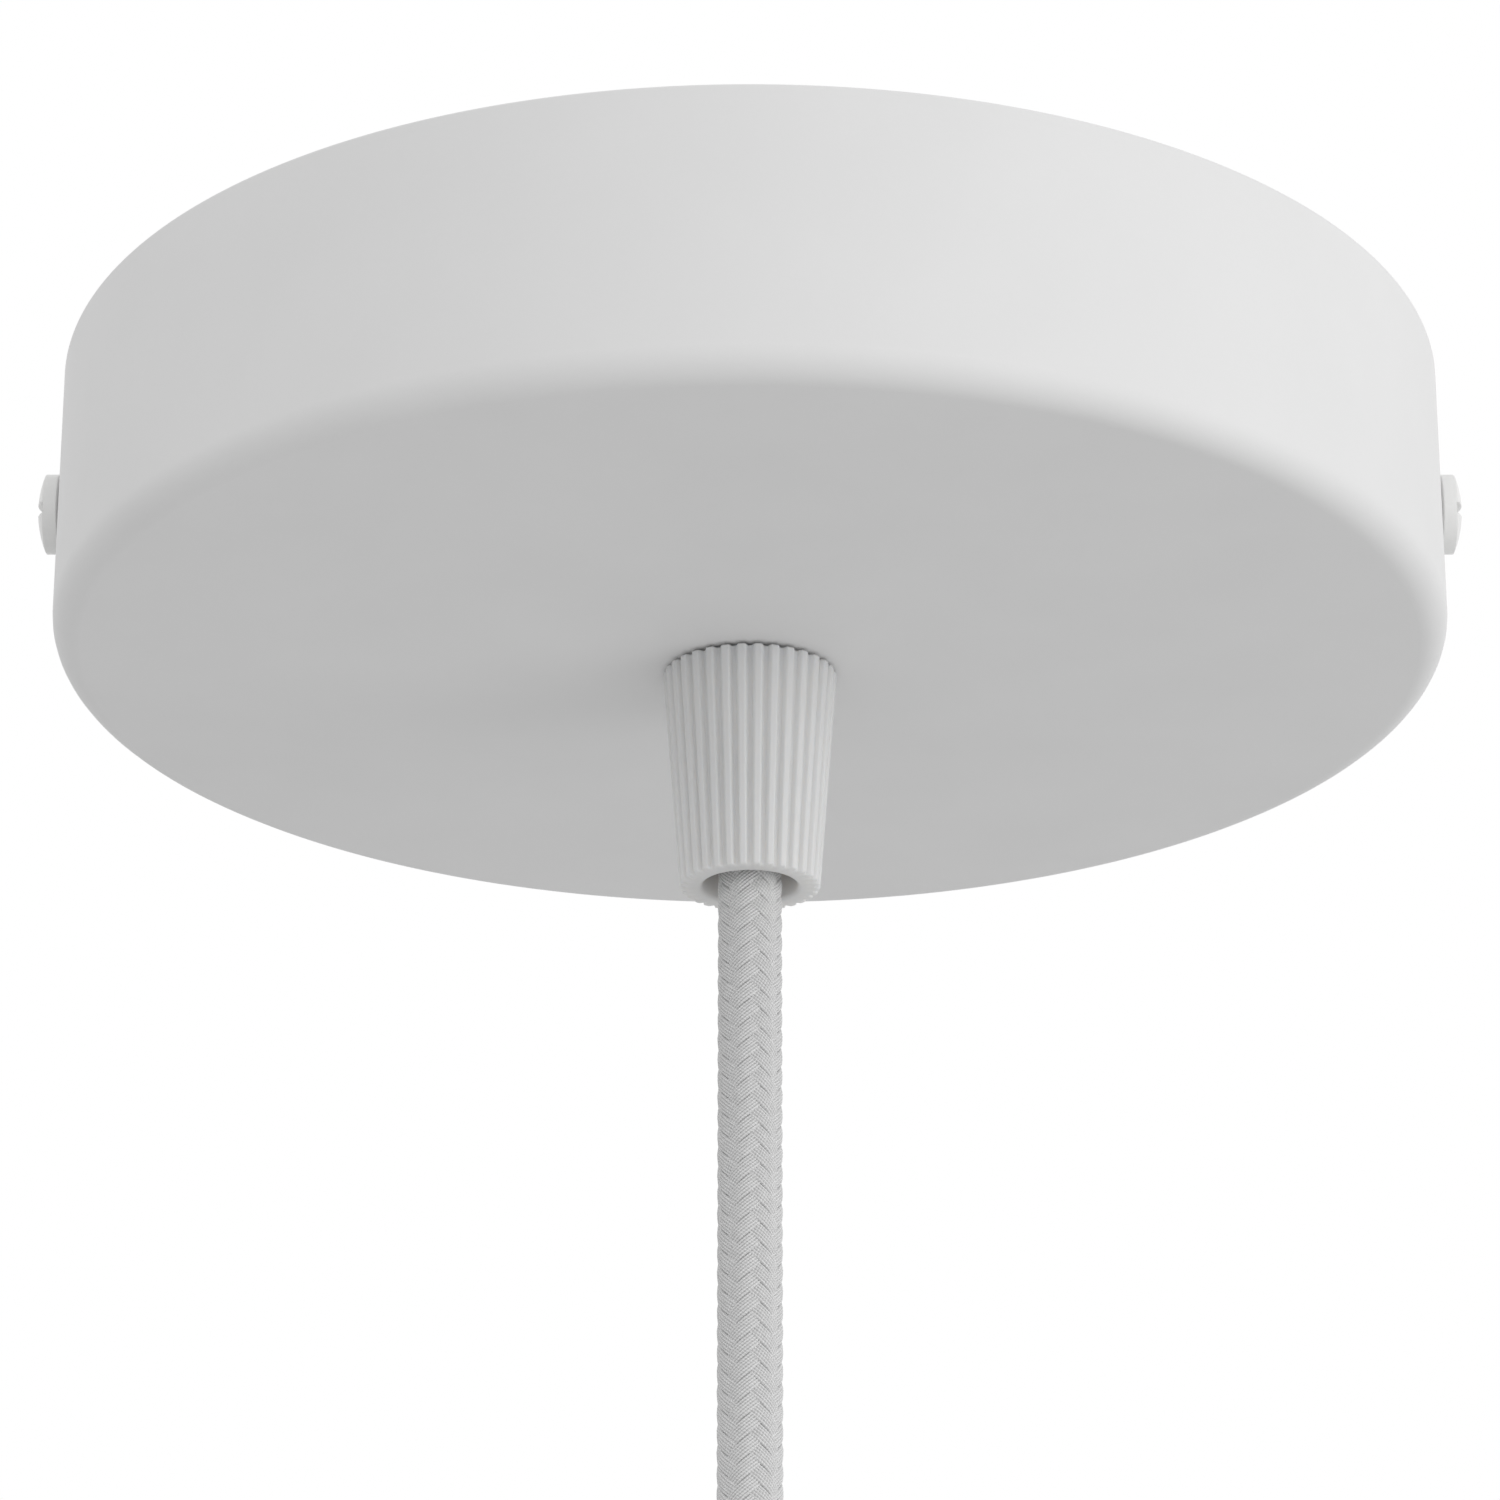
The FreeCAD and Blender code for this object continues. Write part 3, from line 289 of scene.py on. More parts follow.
# Flexible PVC: smooth dull white
SHEATH_PVC = Finish("extruded_white_pvc", "E6E6E3", "DEDEDA", Grain.WORKED, 0.25, 0.003, 0.42)
# Shrunk polyolefin: tight skin with a waxy gloss
SHRINK_TUBE = Finish("shrunk_polyolefin", "EFEFEE", "E6E6E5", Grain.MOULDED, 0.6, 0.006, 0.3,
                     subsurface=0.2)
# Soft PVC insulation in the three wiring colours: smooth with a slight gloss
BROWN_PVC = Finish("brown_pvc", "5E3B26", "553320", Grain.MOULDED, 0.4, 0.002, 0.34)
BLUE_PVC = Finish("blue_pvc", "2F6FB8", "2866AC", Grain.MOULDED, 0.4, 0.002, 0.34)
GREEN_PVC = Finish("green_pvc", "3F9142", "388739", Grain.MOULDED, 0.4, 0.002, 0.34)
YELLOW_PVC = Finish("yellow_pvc", "E8C722", "DDBB1B", Grain.MOULDED, 0.4, 0.002, 0.34)
# Hot-dip galvanised strip: pale grey with flakes of different tone
GALVANISED = Finish("hot_dip_zinc_coating", "BDC1C4", "92979B", Grain.SPANGLED, 2.2, 0.006, 0.4,
                    spread=0.1, metallic=1.0)
# Bright zinc on turned nuts and screws: clear bluish grey with drawn marks
BRIGHT_ZINC = Finish("bright_zinc_plate", "B6BABE", "92979C", Grain.WORKED, 0.12, 0.003, 0.28,
                     metallic=1.0, stretch=(1.0, 1.0, 4.0))
# Drawn brass: warm yellow with fine marks along the tube
BRASS = Finish("drawn_brass", "D0AC62", "B98F45", Grain.WORKED, 0.15, 0.003, 0.3,
               metallic=1.0, stretch=(3.0, 0.3, 3.0))
# Bare copper strands: pinkish brown with fine lengthwise ridges
COPPER = Finish("bare_copper_strands", "CF8560", "A9603F", Grain.WORKED, 0.1, 0.02, 0.34,
                metallic=1.0, stretch=(2.0, 0.2, 2.0))
# Tinned copper: soft grey with rolled marks
TINNED = Finish("tin_plate_on_copper", "BCBCB8", "9C9C97", Grain.WORKED, 0.2, 0.004, 0.36,
                metallic=1.0)
# Natural polyamide: creamy, slightly see-through moulding
POLYAMIDE = Finish("moulded_polyamide", "E5E1D2", "D9D4C2", Grain.MOULDED, 0.5, 0.005, 0.4,
                   subsurface=0.35)
# Plastic collar of a ferrule
COLLAR = Finish("white_ferrule_collar", "E4E4E0", "D8D8D3", Grain.MOULDED, 0.3, 0.003, 0.4)


# Meshes


def turned(corners: Sequence[Corner], steps: int, closed: bool = True,
           segments: int = 4) -> bmesh.types.BMesh:
    """Spin a section about the Z axis.

    Args:
        corners: radius, height and rounding of each corner of the section.
        steps: columns round the axis.
        closed: whether the last corner joins the first.
        segments: edges of a rounded corner.

    Returns:
        The turned mesh, with its faces outwards.
    """
    bm = bmesh.new()
    verts = [bm.verts.new((radius, 0.0, height)) for radius, height, _ in corners]
    for pair in zip(verts, verts[1:]):
        bm.edges.new(pair)
    if closed:
        bm.edges.new((verts[-1], verts[0]))
    for vert, (_, _, rounding) in zip(verts, corners):
        if rounding:
            bmesh.ops.bevel(bm, geom=[vert], offset=rounding, segments=segments, profile=ROUND,
                            affect="VERTICES", material=-1)
    bmesh.ops.spin(bm, geom=bm.verts[:] + bm.edges[:], cent=(0, 0, 0), axis=(0, 0, 1),
                   dvec=(0, 0, 0), angle=math.tau, steps=steps, use_merge=True)
    bmesh.ops.remove_doubles(bm, verts=bm.verts, dist=MERGE)
    bmesh.ops.recalc_face_normals(bm, faces=bm.faces)
    return bm


def dome(radius: float, base: float, rise: float, count: int) -> list[Corner]:
    """Section of a shallow dome, from the axis down to its rim.

    Args:
        radius: radius of the rim.
        base: height of the rim.
        rise: height of the dome.
        count: edges of the curve.

    Returns:
        Corners without rounding.
    """
    ball = (radius ** 2 + rise ** 2) / (2 * rise)
    reach = math.asin(radius / ball)
    return [(ball * math.sin(reach * i / count), base + rise - ball
             + ball * math.cos(reach * i / count), 0.0) for i in range(count + 1)]


def joined(target: bmesh.types.BMesh, added: bmesh.types.BMesh,
           place: Matrix | None = None) -> None:
    """Add a mesh to another, moved to its place, and free it.

    Args:
        target: the mesh that grows.
        added: the mesh that goes into it.
        place: where it goes.
    """
    if place:
        bmesh.ops.transform(added, matrix=place, verts=added.verts)
    holder = bpy.data.meshes.new("holder")
    added.to_mesh(holder)
    added.free()
    target.from_mesh(holder)
    bpy.data.meshes.remove(holder)


def finished(bm: bmesh.types.BMesh, name: str, finishes: Sequence[Finish],
             replaces: Iterable[str], body: str = "root",
             crease: float = 32.0) -> bpy.types.Object:
    """Turn a mesh in millimetres into a piece in metres that rides on a body.

    Args:
        bm: the mesh, which is freed.
        name: the piece's name.
        finishes: its materials, in the order of the faces' indices.
        replaces: the nodes that it stands for.
        body: the body that carries it.
        crease: angle in degrees from which an edge is sharp.

    Returns:
        The piece.
    """
    bmesh.ops.scale(bm, vec=(MM, MM, MM), verts=bm.verts)
    for face in bm.faces:
        face.smooth = True
    for edge in bm.edges:
        if len(edge.link_faces) == 2:
            edge.smooth = edge.calc_face_angle(0.0) < math.radians(crease)
    mesh = bpy.data.meshes.new(name)
    bm.to_mesh(mesh)
    bm.free()
    for finish in finishes:
        mesh.materials.append(finish.build())
    piece = bpy.data.objects.new(name, mesh)
    bpy.context.scene.collection.objects.link(piece)
    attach(piece, body)
    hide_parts(*replaces)
    LOG.info("%s: %d faces", name, len(mesh.polygons))
    return piece


def dressed(node: str, finish: Finish) -> None:
    """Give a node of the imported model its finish.

    Args:
        node: the node's name.
        finish: its material.
    """
    mesh = frame["nodes"][node].data
    mesh.materials.clear()
    mesh.materials.append(finish.build())
    LOG.info("%s: %s", node, finish.name)


def softened(node: str, width: float, finish: Finish,
             least_turn: float = 40.0) -> None:
    """Copy a node with its edges broken, to stand for it.

    Args:
        node: the node's name.
        width: width of the broken edges in millimetres.
        finish: its material.
        least_turn: angle in degrees from which an edge is broken.
    """
    bm = bmesh.new()
    bm.from_mesh(frame["nodes"][node].data)
    bmesh.ops.scale(bm, vec=(1 / MM, 1 / MM, 1 / MM), verts=bm.verts)
    bmesh.ops.remove_doubles(bm, verts=bm.verts, dist=MERGE)
    bmesh.ops.dissolve_limit(bm, angle_limit=math.radians(FLAT), verts=bm.verts, edges=bm.edges)
    sharp = [edge for edge in bm.edges if len(edge.link_faces) == 2
             and edge.calc_face_angle(0.0) > math.radians(least_turn)]
    bmesh.ops.bevel(bm, geom=sharp, offset=width, segments=2, profile=ROUND, affect="EDGES",
                    material=-1, clamp_overlap=True)
    body = frame["nodes"][node]["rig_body"]
    finished(bm, node + "_softened", [finish], [node], body)


# Routes


def route_line(points: Sequence[Vector], share: int = 24) -> list[Vector]:
    """Read the smooth line of a route from its NURBS spline.

    Args:
        points: the route's control points.
        share: points of the line per span.

    Returns:
        Points close together along the line.
    """
    data = bpy.data.curves.new("route", "CURVE")
    data.dimensions = "3D"
    data.resolution_u = share
    spline = data.splines.new("NURBS")
    spline.points.add(len(points) - 1)
    for spot, point in zip(spline.points, points):
        spot.co = (*point, 1.0)
    spline.order_u = 3
    spline.use_endpoint_u = True
    guide = bpy.data.objects.new("route", data)
    mesh = bpy.data.meshes.new_from_object(guide)
    line = [vert.co.copy() for vert in mesh.vertices]
    bpy.data.objects.remove(guide)
    bpy.data.curves.remove(data)
    bpy.data.meshes.remove(mesh)
    return line


def evenly(line: Sequence[Vector], step: float) -> list[Vector]:
    """Space the points of a line evenly.

    Args:
        line: points close together.
        step: about how far apart the new ones lie.

    Returns:
        The new points, with both ends kept.
    """
    reach = [0.0]
    for before, after in zip(line, line[1:]):
        reach.append(reach[-1] + (after - before).length)
    count = max(2, round(reach[-1] / step))
    spaced = []
    index = 0
    for i in range(count + 1):
        wanted = reach[-1] * i / count
        while index < len(line) - 2 and reach[index + 1] < wanted:
            index += 1
        run = reach[index + 1] - reach[index]
        share = (wanted - reach[index]) / run if run else 0.0
        spaced.append(line[index].lerp(line[index + 1], min(1.0, share)))
    return spaced


def frames_along(line: Sequence[Vector], twist: float = 0.0) -> list[Matrix]:
    """Carry a frame along a line without turning it more than it must.

    Args:
        line: evenly spaced points.
        twist: added turn in radians per millimetre.

    Returns:
        A matrix at each point, with its Z axis along the line.
    """
    placed = []
    ahead = (line[1] - line[0]).normalized()
    side = ahead.orthogonal().normalized()
    for i, point in enumerate(line):
        nearby = line[min(i + 1, len(line) - 1)] - line[max(i - 1, 0)]
        turn = ahead.rotation_difference(nearby.normalized())
        side = turn @ side
        ahead = nearby.normalized()
        side = (side - ahead * side.dot(ahead)).normalized()
        frame_here = Matrix((side, ahead.cross(side), ahead)).transposed().to_4x4()
        frame_here.translation = point
        placed.append(frame_here @ Matrix.Rotation(twist * i * (line[1] - line[0]).length, 4, "Z"))
    return placed


def swept(section: Sequence[tuple[float, float]], frames: Sequence[Matrix]) -> bmesh.types.BMesh:
    """Carry a closed section along frames, and close both ends.

    The vertices keep where they lie across the section and along the line in the attributes
    across and along, and their number in the section in column.

    Args:
        section: the section's corners in its own plane, counter-clockwise.
        frames: where it stands.

    Returns:
        The closed mesh.
    """
    bm = bmesh.new()
    across = bm.verts.layers.float.new("across")
    along = bm.verts.layers.float.new("along")
    column = bm.verts.layers.int.new("column")
    verts = [bm.verts.new((x, y, 0.0)) for x, y in section]
    for i, (vert, (x, _)) in enumerate(zip(verts, section)):
        vert[across] = x
        vert[column] = i
    edges = [bm.edges.new(pair) for pair in zip(verts, verts[1:] + verts[:1])]
    bmesh.ops.transform(bm, matrix=frames[0], verts=verts)
    first = edges
    for i, (before, after) in enumerate(zip(frames, frames[1:]), start=1):
        made = bmesh.ops.extrude_edge_only(bm, edges=edges)["geom"]
        verts = [item for item in made if isinstance(item, bmesh.types.BMVert)]
        fresh = set(verts)
        edges = [item for item in made if isinstance(item, bmesh.types.BMEdge)
                 and fresh.issuperset(item.verts)]
        bmesh.ops.transform(bm, matrix=after @ before.inverted(), verts=verts)
        for vert in verts:
            vert[along] = i
    for rim in (first, edges):
        bmesh.ops.contextual_create(bm, geom=rim)
    bmesh.ops.recalc_face_normals(bm, faces=bm.faces)
    return bm


def round_section(radius: float, count: int) -> list[tuple[float, float]]:
    """Corners of a round section."""
    return [(radius * math.cos(math.tau * i / count), radius * math.sin(math.tau * i / count))
            for i in range(count)]


# Casing


@dataclass(frozen=True)
class SlottedScrew:
    """A painted pan-head screw with a driver slot and a plated thread.

    Its seat is at z = 0 and its head above. The slot's lips are the edges on its sides that turn
    by more than lip_turn, in radians, and lie lip_above its floor.
    """

    head: float
    rim: float
    rise: float
    thread: float
    length: float
    slot_width: float = 0.9
    slot_depth: float = 0.8
    broken_edge: float = 0.07
    undercut: float = 0.22
    undercut_width: float = 0.7
    thread_pitch: float = 0.7
    thread_depth: float = 0.3
    thread_start: float = 0.5
    thread_end: float = 1.0
    lip_above: float = 0.1
    lip_turn: float = 0.8
    dome_edges: int = 10
    steps: int = 72

    def build(self) -> bmesh.types.BMesh:
        """Turn the screw, then sink the slot along its Y axis; the thread is in rings.

        Returns:
            The screw, with its thread and shank in the second material.
        """
        radius, shank = self.head / 2, self.thread / 2
        turns = int((self.length - self.thread_end) / self.thread_pitch)
        ridges = [(shank - self.thread_depth * (i % 2),
                   -self.thread_start - self.thread_pitch / 2 * i, 0.0) for i in range(2 * turns)]
        section = dome(radius, self.rim, self.rise, self.dome_edges)
        section[-1] = (radius, self.rim, self.broken_edge)
        section += [(radius, self.undercut, self.broken_edge),
                    (radius - self.undercut_width, 0.0, 0.0), (shank, 0.0, 0.0), *ridges,
                    (shank - self.thread_depth, -self.length, 0.0), (0.0, -self.length, 0.0)]
        bm = turned(section, self.steps, closed=False)
        for face in bm.faces:
            face.material_index = int(face.calc_center_median().z < -MERGE)
        self.sink_slot(bm)
        return bm

    def sink_slot(self, bm: bmesh.types.BMesh) -> None:
        """Lower the strip of the head between two planes to the slot's floor.

        Args:
            bm: the turned screw.
        """
        floor = self.rim + self.rise - self.slot_depth
        half = self.slot_width / 2
        planes = [((0, 0, floor), (0, 0, 1)), ((half, 0, 0), (1, 0, 0)),
                  ((-half, 0, 0), (1, 0, 0))]
        for spot, normal in planes:
            bmesh.ops.bisect_plane(bm, geom=bm.verts[:] + bm.edges[:] + bm.faces[:], dist=CUT,
                                   plane_co=spot, plane_no=normal)
        strip = []
        for face in bm.faces:
            middle = face.calc_center_median()
            if abs(middle.x) < half and middle.z > floor:
                strip.append(face)
        made = bmesh.ops.extrude_face_region(bm, geom=strip)["geom"]
        left = [face for face in strip if face.is_valid]
        bmesh.ops.delete(bm, geom=left, context="FACES_ONLY")
        for item in made:
            if isinstance(item, bmesh.types.BMVert):
                item.co.z = floor
        bmesh.ops.remove_doubles(bm, verts=bm.verts, dist=MERGE)
        bmesh.ops.recalc_face_normals(bm, faces=bm.faces)
        lips = []
        for edge in bm.edges:
            middle = (edge.verts[0].co + edge.verts[1].co) / 2
            on_side = all(abs(abs(vert.co.x) - half) < MERGE for vert in edge.verts)
            sharp = edge.calc_face_angle(0.0) > self.lip_turn
            if on_side and sharp and middle.z > floor + self.lip_above:
                lips.append(edge)
        bmesh.ops.bevel(bm, geom=lips, offset=self.broken_edge, segments=2, profile=ROUND,
                        affect="EDGES", material=-1)


@dataclass(frozen=True)
class Canopy:
    """The spun cup and the two screws in its side.

    Round each side hole, patch columns of faces and as many rows, one millimetre high, make way
    for the hole's rim.
    """

    radius: float
    height: float
    wall: float = 1.0
    outer_bend: float = 2.5
    stem_hole: float = 5.2
    side_hole: float = 2.2
    hole_depth: float = 10.0
    rim_rounding: float = 0.3
    seat_gap: float = 0.1
    slot_tilt: float = 13.0
    screw: SlottedScrew = SlottedScrew(head=7.0, rim=1.4, rise=0.7, thread=3.9, length=8.0)
    hole_rounding: float = 0.15
    bend_segments: int = 8
    columns: int = 384
    patch: int = 6
    patch_margin: float = 0.1

    def build(self) -> None:
        """Make the cup and its screws, with their slots tilted down to the front."""
        self.cup()
        for side, label in ((1, "right"), (-1, "left")):
            turn = (Matrix.Rotation(math.radians(90 * side), 4, "Y")
                    @ Matrix.Rotation(math.radians(self.slot_tilt * side), 4, "Z"))
            spot = Vector((side * (self.radius + self.seat_gap), 0.0, -self.hole_depth))
            bm = bmesh.new()
            joined(bm, self.screw.build(), Matrix.Translation(spot) @ turn)
            finished(bm, f"side_screw_{label}_painted", [SCREW_PAINT, BRIGHT_ZINC],
                     [f"side_screw_{label}"])

    def cup(self) -> None:
        """Spin the cup, and open its two side holes."""
        outer, inner = self.radius, self.radius - self.wall
        low, floor = -self.height, self.wall - self.height
        rows = [i - self.patch / 2 - self.hole_depth for i in range(self.patch + 1)]
        section = [(self.stem_hole, low, self.hole_rounding), (outer, low, self.outer_bend)]
        section += [(outer, row, 0.0) for row in rows]
        section += [(outer, 0.0, self.rim_rounding), (inner, 0.0, self.rim_rounding)]
        section += [(inner, row, 0.0) for row in reversed(rows)]
        section += [(inner, floor, self.outer_bend - self.wall),
                    (self.stem_hole, floor, self.hole_rounding)]
        bm = turned(section, self.columns, segments=self.bend_segments)
        for side in (1, -1):
            rims = [self.hole_in_skin(bm, side, skin) for skin in (outer, inner)]
            bmesh.ops.bridge_loops(bm, edges=rims[0] + rims[1])
        bmesh.ops.recalc_face_normals(bm, faces=bm.faces)
        finished(bm, "canopy_cup", [POWDER_COAT], ["canopy"])

    def hole_in_skin(self, bm: bmesh.types.BMesh, side: int,
                     skin: float) -> list[bmesh.types.BMEdge]:
        """Open a round hole in one skin of the wall.

        Args:
            bm: the cup.
            side: 1 for the right-hand hole, -1 for the left-hand one.
            skin: the skin's radius.

        Returns:
            The hole's edges.
        """
        reach = math.tau * skin / self.columns * (self.patch / 2 + self.patch_margin)
        close = self.wall / 4
        patch = []
        for face in bm.faces:
            middle = face.calc_center_median()
            near = side * middle.x > 0 and abs(middle.y) < reach
            level = abs(middle.z + self.hole_depth) < self.patch / 2
            if near and level and abs(math.hypot(middle.x, middle.y) - skin) < close:
                patch.append(face)
        bmesh.ops.delete(bm, geom=patch, context="FACES")
        border = [edge for edge in bm.edges if edge.is_boundary and side * edge.verts[0].co.x > 0
                  and abs(math.hypot(*edge.verts[0].co.xy) - skin) < close]
        place = Matrix.Translation((side * skin, 0, -self.hole_depth))
        place = place @ Matrix.Rotation(math.radians(90), 4, "Y")
        made = bmesh.ops.create_circle(bm, segments=self.patch * 4, radius=self.side_hole,
                                       matrix=place)["verts"]
        for vert in made:
            vert.co.x = side * math.sqrt(skin ** 2 - vert.co.y ** 2)
        ring = list({edge for vert in made for edge in vert.link_edges})
        bmesh.ops.bridge_loops(bm, edges=border + ring)
        return ring


# Cord grip


@dataclass(frozen=True)
class FlutedCap:
    """The hand-turned cone with its flutes, recess, thread bore, cone seat and cable mouth.

    recess, thread and mouth are each a radius and the height at which it ends. flute_mouth is a
    share of the way from flute to flute, flute_floor a share of that mouth, lip_corner a share of
    the lip, and columns is the count per flute.
    """

    top: float = -25.25
    bottom: float = -44.75
    top_radius: float = 7.5
    bottom_radius: float = 6.0
    recess: tuple[float, float] = (6.3, -26.55)
    thread: tuple[float, float] = (5.05, -37.7)
    mouth: tuple[float, float] = (4.05, -42.75)
    lip: float = 0.18
    lip_corner: float = 0.3
    mouth_ring: float = 0.45
    mouth_edge: float = 0.3
    mouth_corner: float = 0.1
    flutes: int = 32
    flute_depth: float = 0.42
    flute_mouth: float = 0.62
    flute_floor: float = 0.35
    columns: int = 16

    def groove(self, angle: float) -> float:
        """Depth of a flute at an angle.

        Args:
            angle: in radians round the axis.

        Returns:
            From 0 on a ridge to 1 on the flute's floor.
        """
        phase = abs((angle * self.flutes / math.tau + 0.5) % 1.0 - 0.5)
        half = self.flute_mouth / 2
        share = (half - phase) / (half * (1 - self.flute_floor))
        share = min(1.0, max(0.0, share))
        return share * share * (3 - 2 * share)

    def levels(self) -> list[tuple[float, float, float]]:
        """Work out the levels of the section, once round.

        Returns:
            Radius, height and share of the flutes' depth of each level.
        """
        slope = (self.top_radius - self.bottom_radius) / (self.top - self.bottom)
        low_lip = self.bottom_radius + slope * self.lip
        high_lip = self.top_radius - slope * self.lip
        corner = self.lip * self.lip_corner
        mouth_radius, mouth_top = self.mouth
        return [
            (self.recess[0], self.top, 0.0),
            (self.top_radius - self.lip, self.top, 1.0),
            (high_lip - corner, self.top - corner, 1.0),
            (high_lip, self.top - self.lip, 1.0),
            (low_lip, self.bottom + self.lip, 1.0),
            (low_lip - corner, self.bottom + corner, 1.0),
            (self.bottom_radius - self.lip, self.bottom, 1.0),
            (mouth_radius + self.mouth_ring, self.bottom, 0.0),
            (mouth_radius + self.mouth_edge, self.bottom, 0.0),
            (mouth_radius + self.mouth_corner, self.bottom + self.mouth_corner, 0.0),
            (mouth_radius, self.bottom + self.mouth_edge, 0.0),
            (mouth_radius, mouth_top, 0.0),
            (self.thread[0], self.thread[1], 0.0),
            (self.thread[0], self.recess[1], 0.0),
            (self.recess[0], self.recess[1], 0.0),
            (self.recess[0], self.top, 0.0),
        ]

    def build(self) -> None:
        """Extrude a ring from level to level, and press the flutes in."""
        bm = bmesh.new()
        count = self.flutes * self.columns
        levels = self.levels()
        verts = bmesh.ops.create_circle(bm, segments=count, radius=1.0)["verts"]
        edges = list(bm.edges)
        for step, (radius, height, share) in enumerate(levels):
            if step:
                made = bmesh.ops.extrude_edge_only(bm, edges=edges)["geom"]
                verts = [item for item in made if isinstance(item, bmesh.types.BMVert)]
                fresh = set(verts)
                edges = [item for item in made if isinstance(item, bmesh.types.BMEdge)
                         and fresh.issuperset(item.verts)]
            for vert in verts:
                angle = math.atan2(vert.co.y, vert.co.x)
                reach = radius - share * self.flute_depth * self.groove(angle)
                vert.co = (reach * math.cos(angle), reach * math.sin(angle), height)
        bmesh.ops.remove_doubles(bm, verts=bm.verts, dist=MERGE)
        bmesh.ops.recalc_face_normals(bm, faces=bm.faces)
        finished(bm, "cap_fluted", [NYLON], ["clamp_cap"], body="cap",
                 crease=50.0)


@dataclass(frozen=True)
class CordGrip:
    """Stem, nut, washer, claw and cap."""

    cap: FlutedCap = FlutedCap()

    def build(self) -> None:
        """Make the cap and dress what stays as imported."""
        self.cap.build()
        dressed("grip_claw", NYLON)
        dressed("clamp_stem", NYLON)
        dressed("stem_nut", BRIGHT_ZINC)
        dressed("stem_washer", BRIGHT_ZINC)


# Cable


@dataclass(frozen=True)
class Braid:
    """Two-over-two braid of flat bundles of yarn round a core.

    pitch is the height from one bundle to the next, and cover the share of it that a bundle
    fills. A bundle's edges lie lower than its middle by crown, and it rises and dives by sink at
    the crossings. phase is the braid's turn in degrees.
    """

    top: float = -16.5
    bottom: float = -102.0
    diameter: float = 5.5
    bundles: int = 8
    pitch: float = 1.7
    yarns: int = 5
    cover: float = 0.97
    yarn_rise: float = 0.1
    crown: float = 0.1
    sink: float = 0.13
    thickness: float = 0.26
    step: float = 0.3
    core_radius: float = 2.3
    core_sides: int = 32
    phase: float = 20.7
    yarn_edges: int = 3
    flatness: float = 1.3

    @property
    def route(self) -> list[Vector]:
        """The cable hangs straight, so four points in line make its route."""
        span = (self.bottom - self.top) / 3
        return [Vector((0.0, 0.0, self.top + span * i)) for i in range(4)]

    def wave(self, crossing: float) -> float:
        """Rise and fall of a bundle as it goes over two others and under the next two."""
        height = self.flatness * math.cos(math.pi / 2 * (crossing - 0.5))
        return max(-1.0, min(1.0, height))

    def section(self, width: float) -> list[tuple[float, float]]:
        """Closed section of a bundle: rounded yarns on top, a flat back.

        Args:
            width: the bundle's width.

        Returns:
            The section's corners, counter-clockwise.
        """
        points = []
        steps = self.yarns * self.yarn_edges
        for i in range(steps + 1):
            x = width * (i / steps - 0.5)
            bump = self.yarn_rise if i % self.yarn_edges else 0.0
            points.append((x, bump - self.crown * (2 * x / width) ** 2))
        return [(width / 2, -self.thickness), *reversed(points), (-width / 2, -self.thickness)]

    def bundle(self, line: Sequence[Vector], first: int, hand: int) -> bmesh.types.BMesh:
        """Wind one bundle round the line.

        Args:
            line: evenly spaced points of the cable's line.
            first: number of the bundle.
            hand: 1 for one way round, -1 for the other.

        Returns:
            The bundle.
        """
        lead = self.pitch * self.bundles
        mean = self.diameter / 2 - self.yarn_rise - self.sink
        lean = math.atan2(math.tau * mean, lead)
        width = self.pitch * math.sin(lean) * self.cover
        placed = []
        gone = 0.0
        for i, point in enumerate(line):
            gone += (point - line[i - 1]).length if i else 0.0
            angle = math.tau * (first / self.bundles + hand * gone / lead)
            crossing = 2 * first + hand * 2 * gone / self.pitch
            out = Vector((math.cos(angle), math.sin(angle), 0.0))
            around = Vector((-math.sin(angle), math.cos(angle), 0.0))
            ahead = (around * hand * math.sin(lean) + Vector((0, 0, -1)) * math.cos(lean))
            here = Matrix((out.cross(ahead), out, ahead)).transposed().to_4x4()
            here.translation = point + out * (mean + hand * self.sink * self.wave(crossing))
            placed.append(here)
        return swept(self.section(width), placed)

    def build(self) -> bpy.types.Object:
        """Braid the cable: each way two kinds of bundle, repeated at quarter turns.

        Returns:
            The piece.
        """
        line = evenly(route_line(self.route), self.step)
        core = round_section(self.core_radius, self.core_sides)
        bm = swept(core, frames_along(line)[::len(line) - 1])
        for hand in (1, -1):
            for first in (0, 1):
                for quarter in range(4):
                    turn = Matrix.Rotation(math.radians(self.phase + 90 * quarter), 4, "Z")
                    joined(bm, self.bundle(line, first, hand), turn)
        return finished(bm, "cable_braid", [YARN], ["pendant_cable"], crease=70.0)


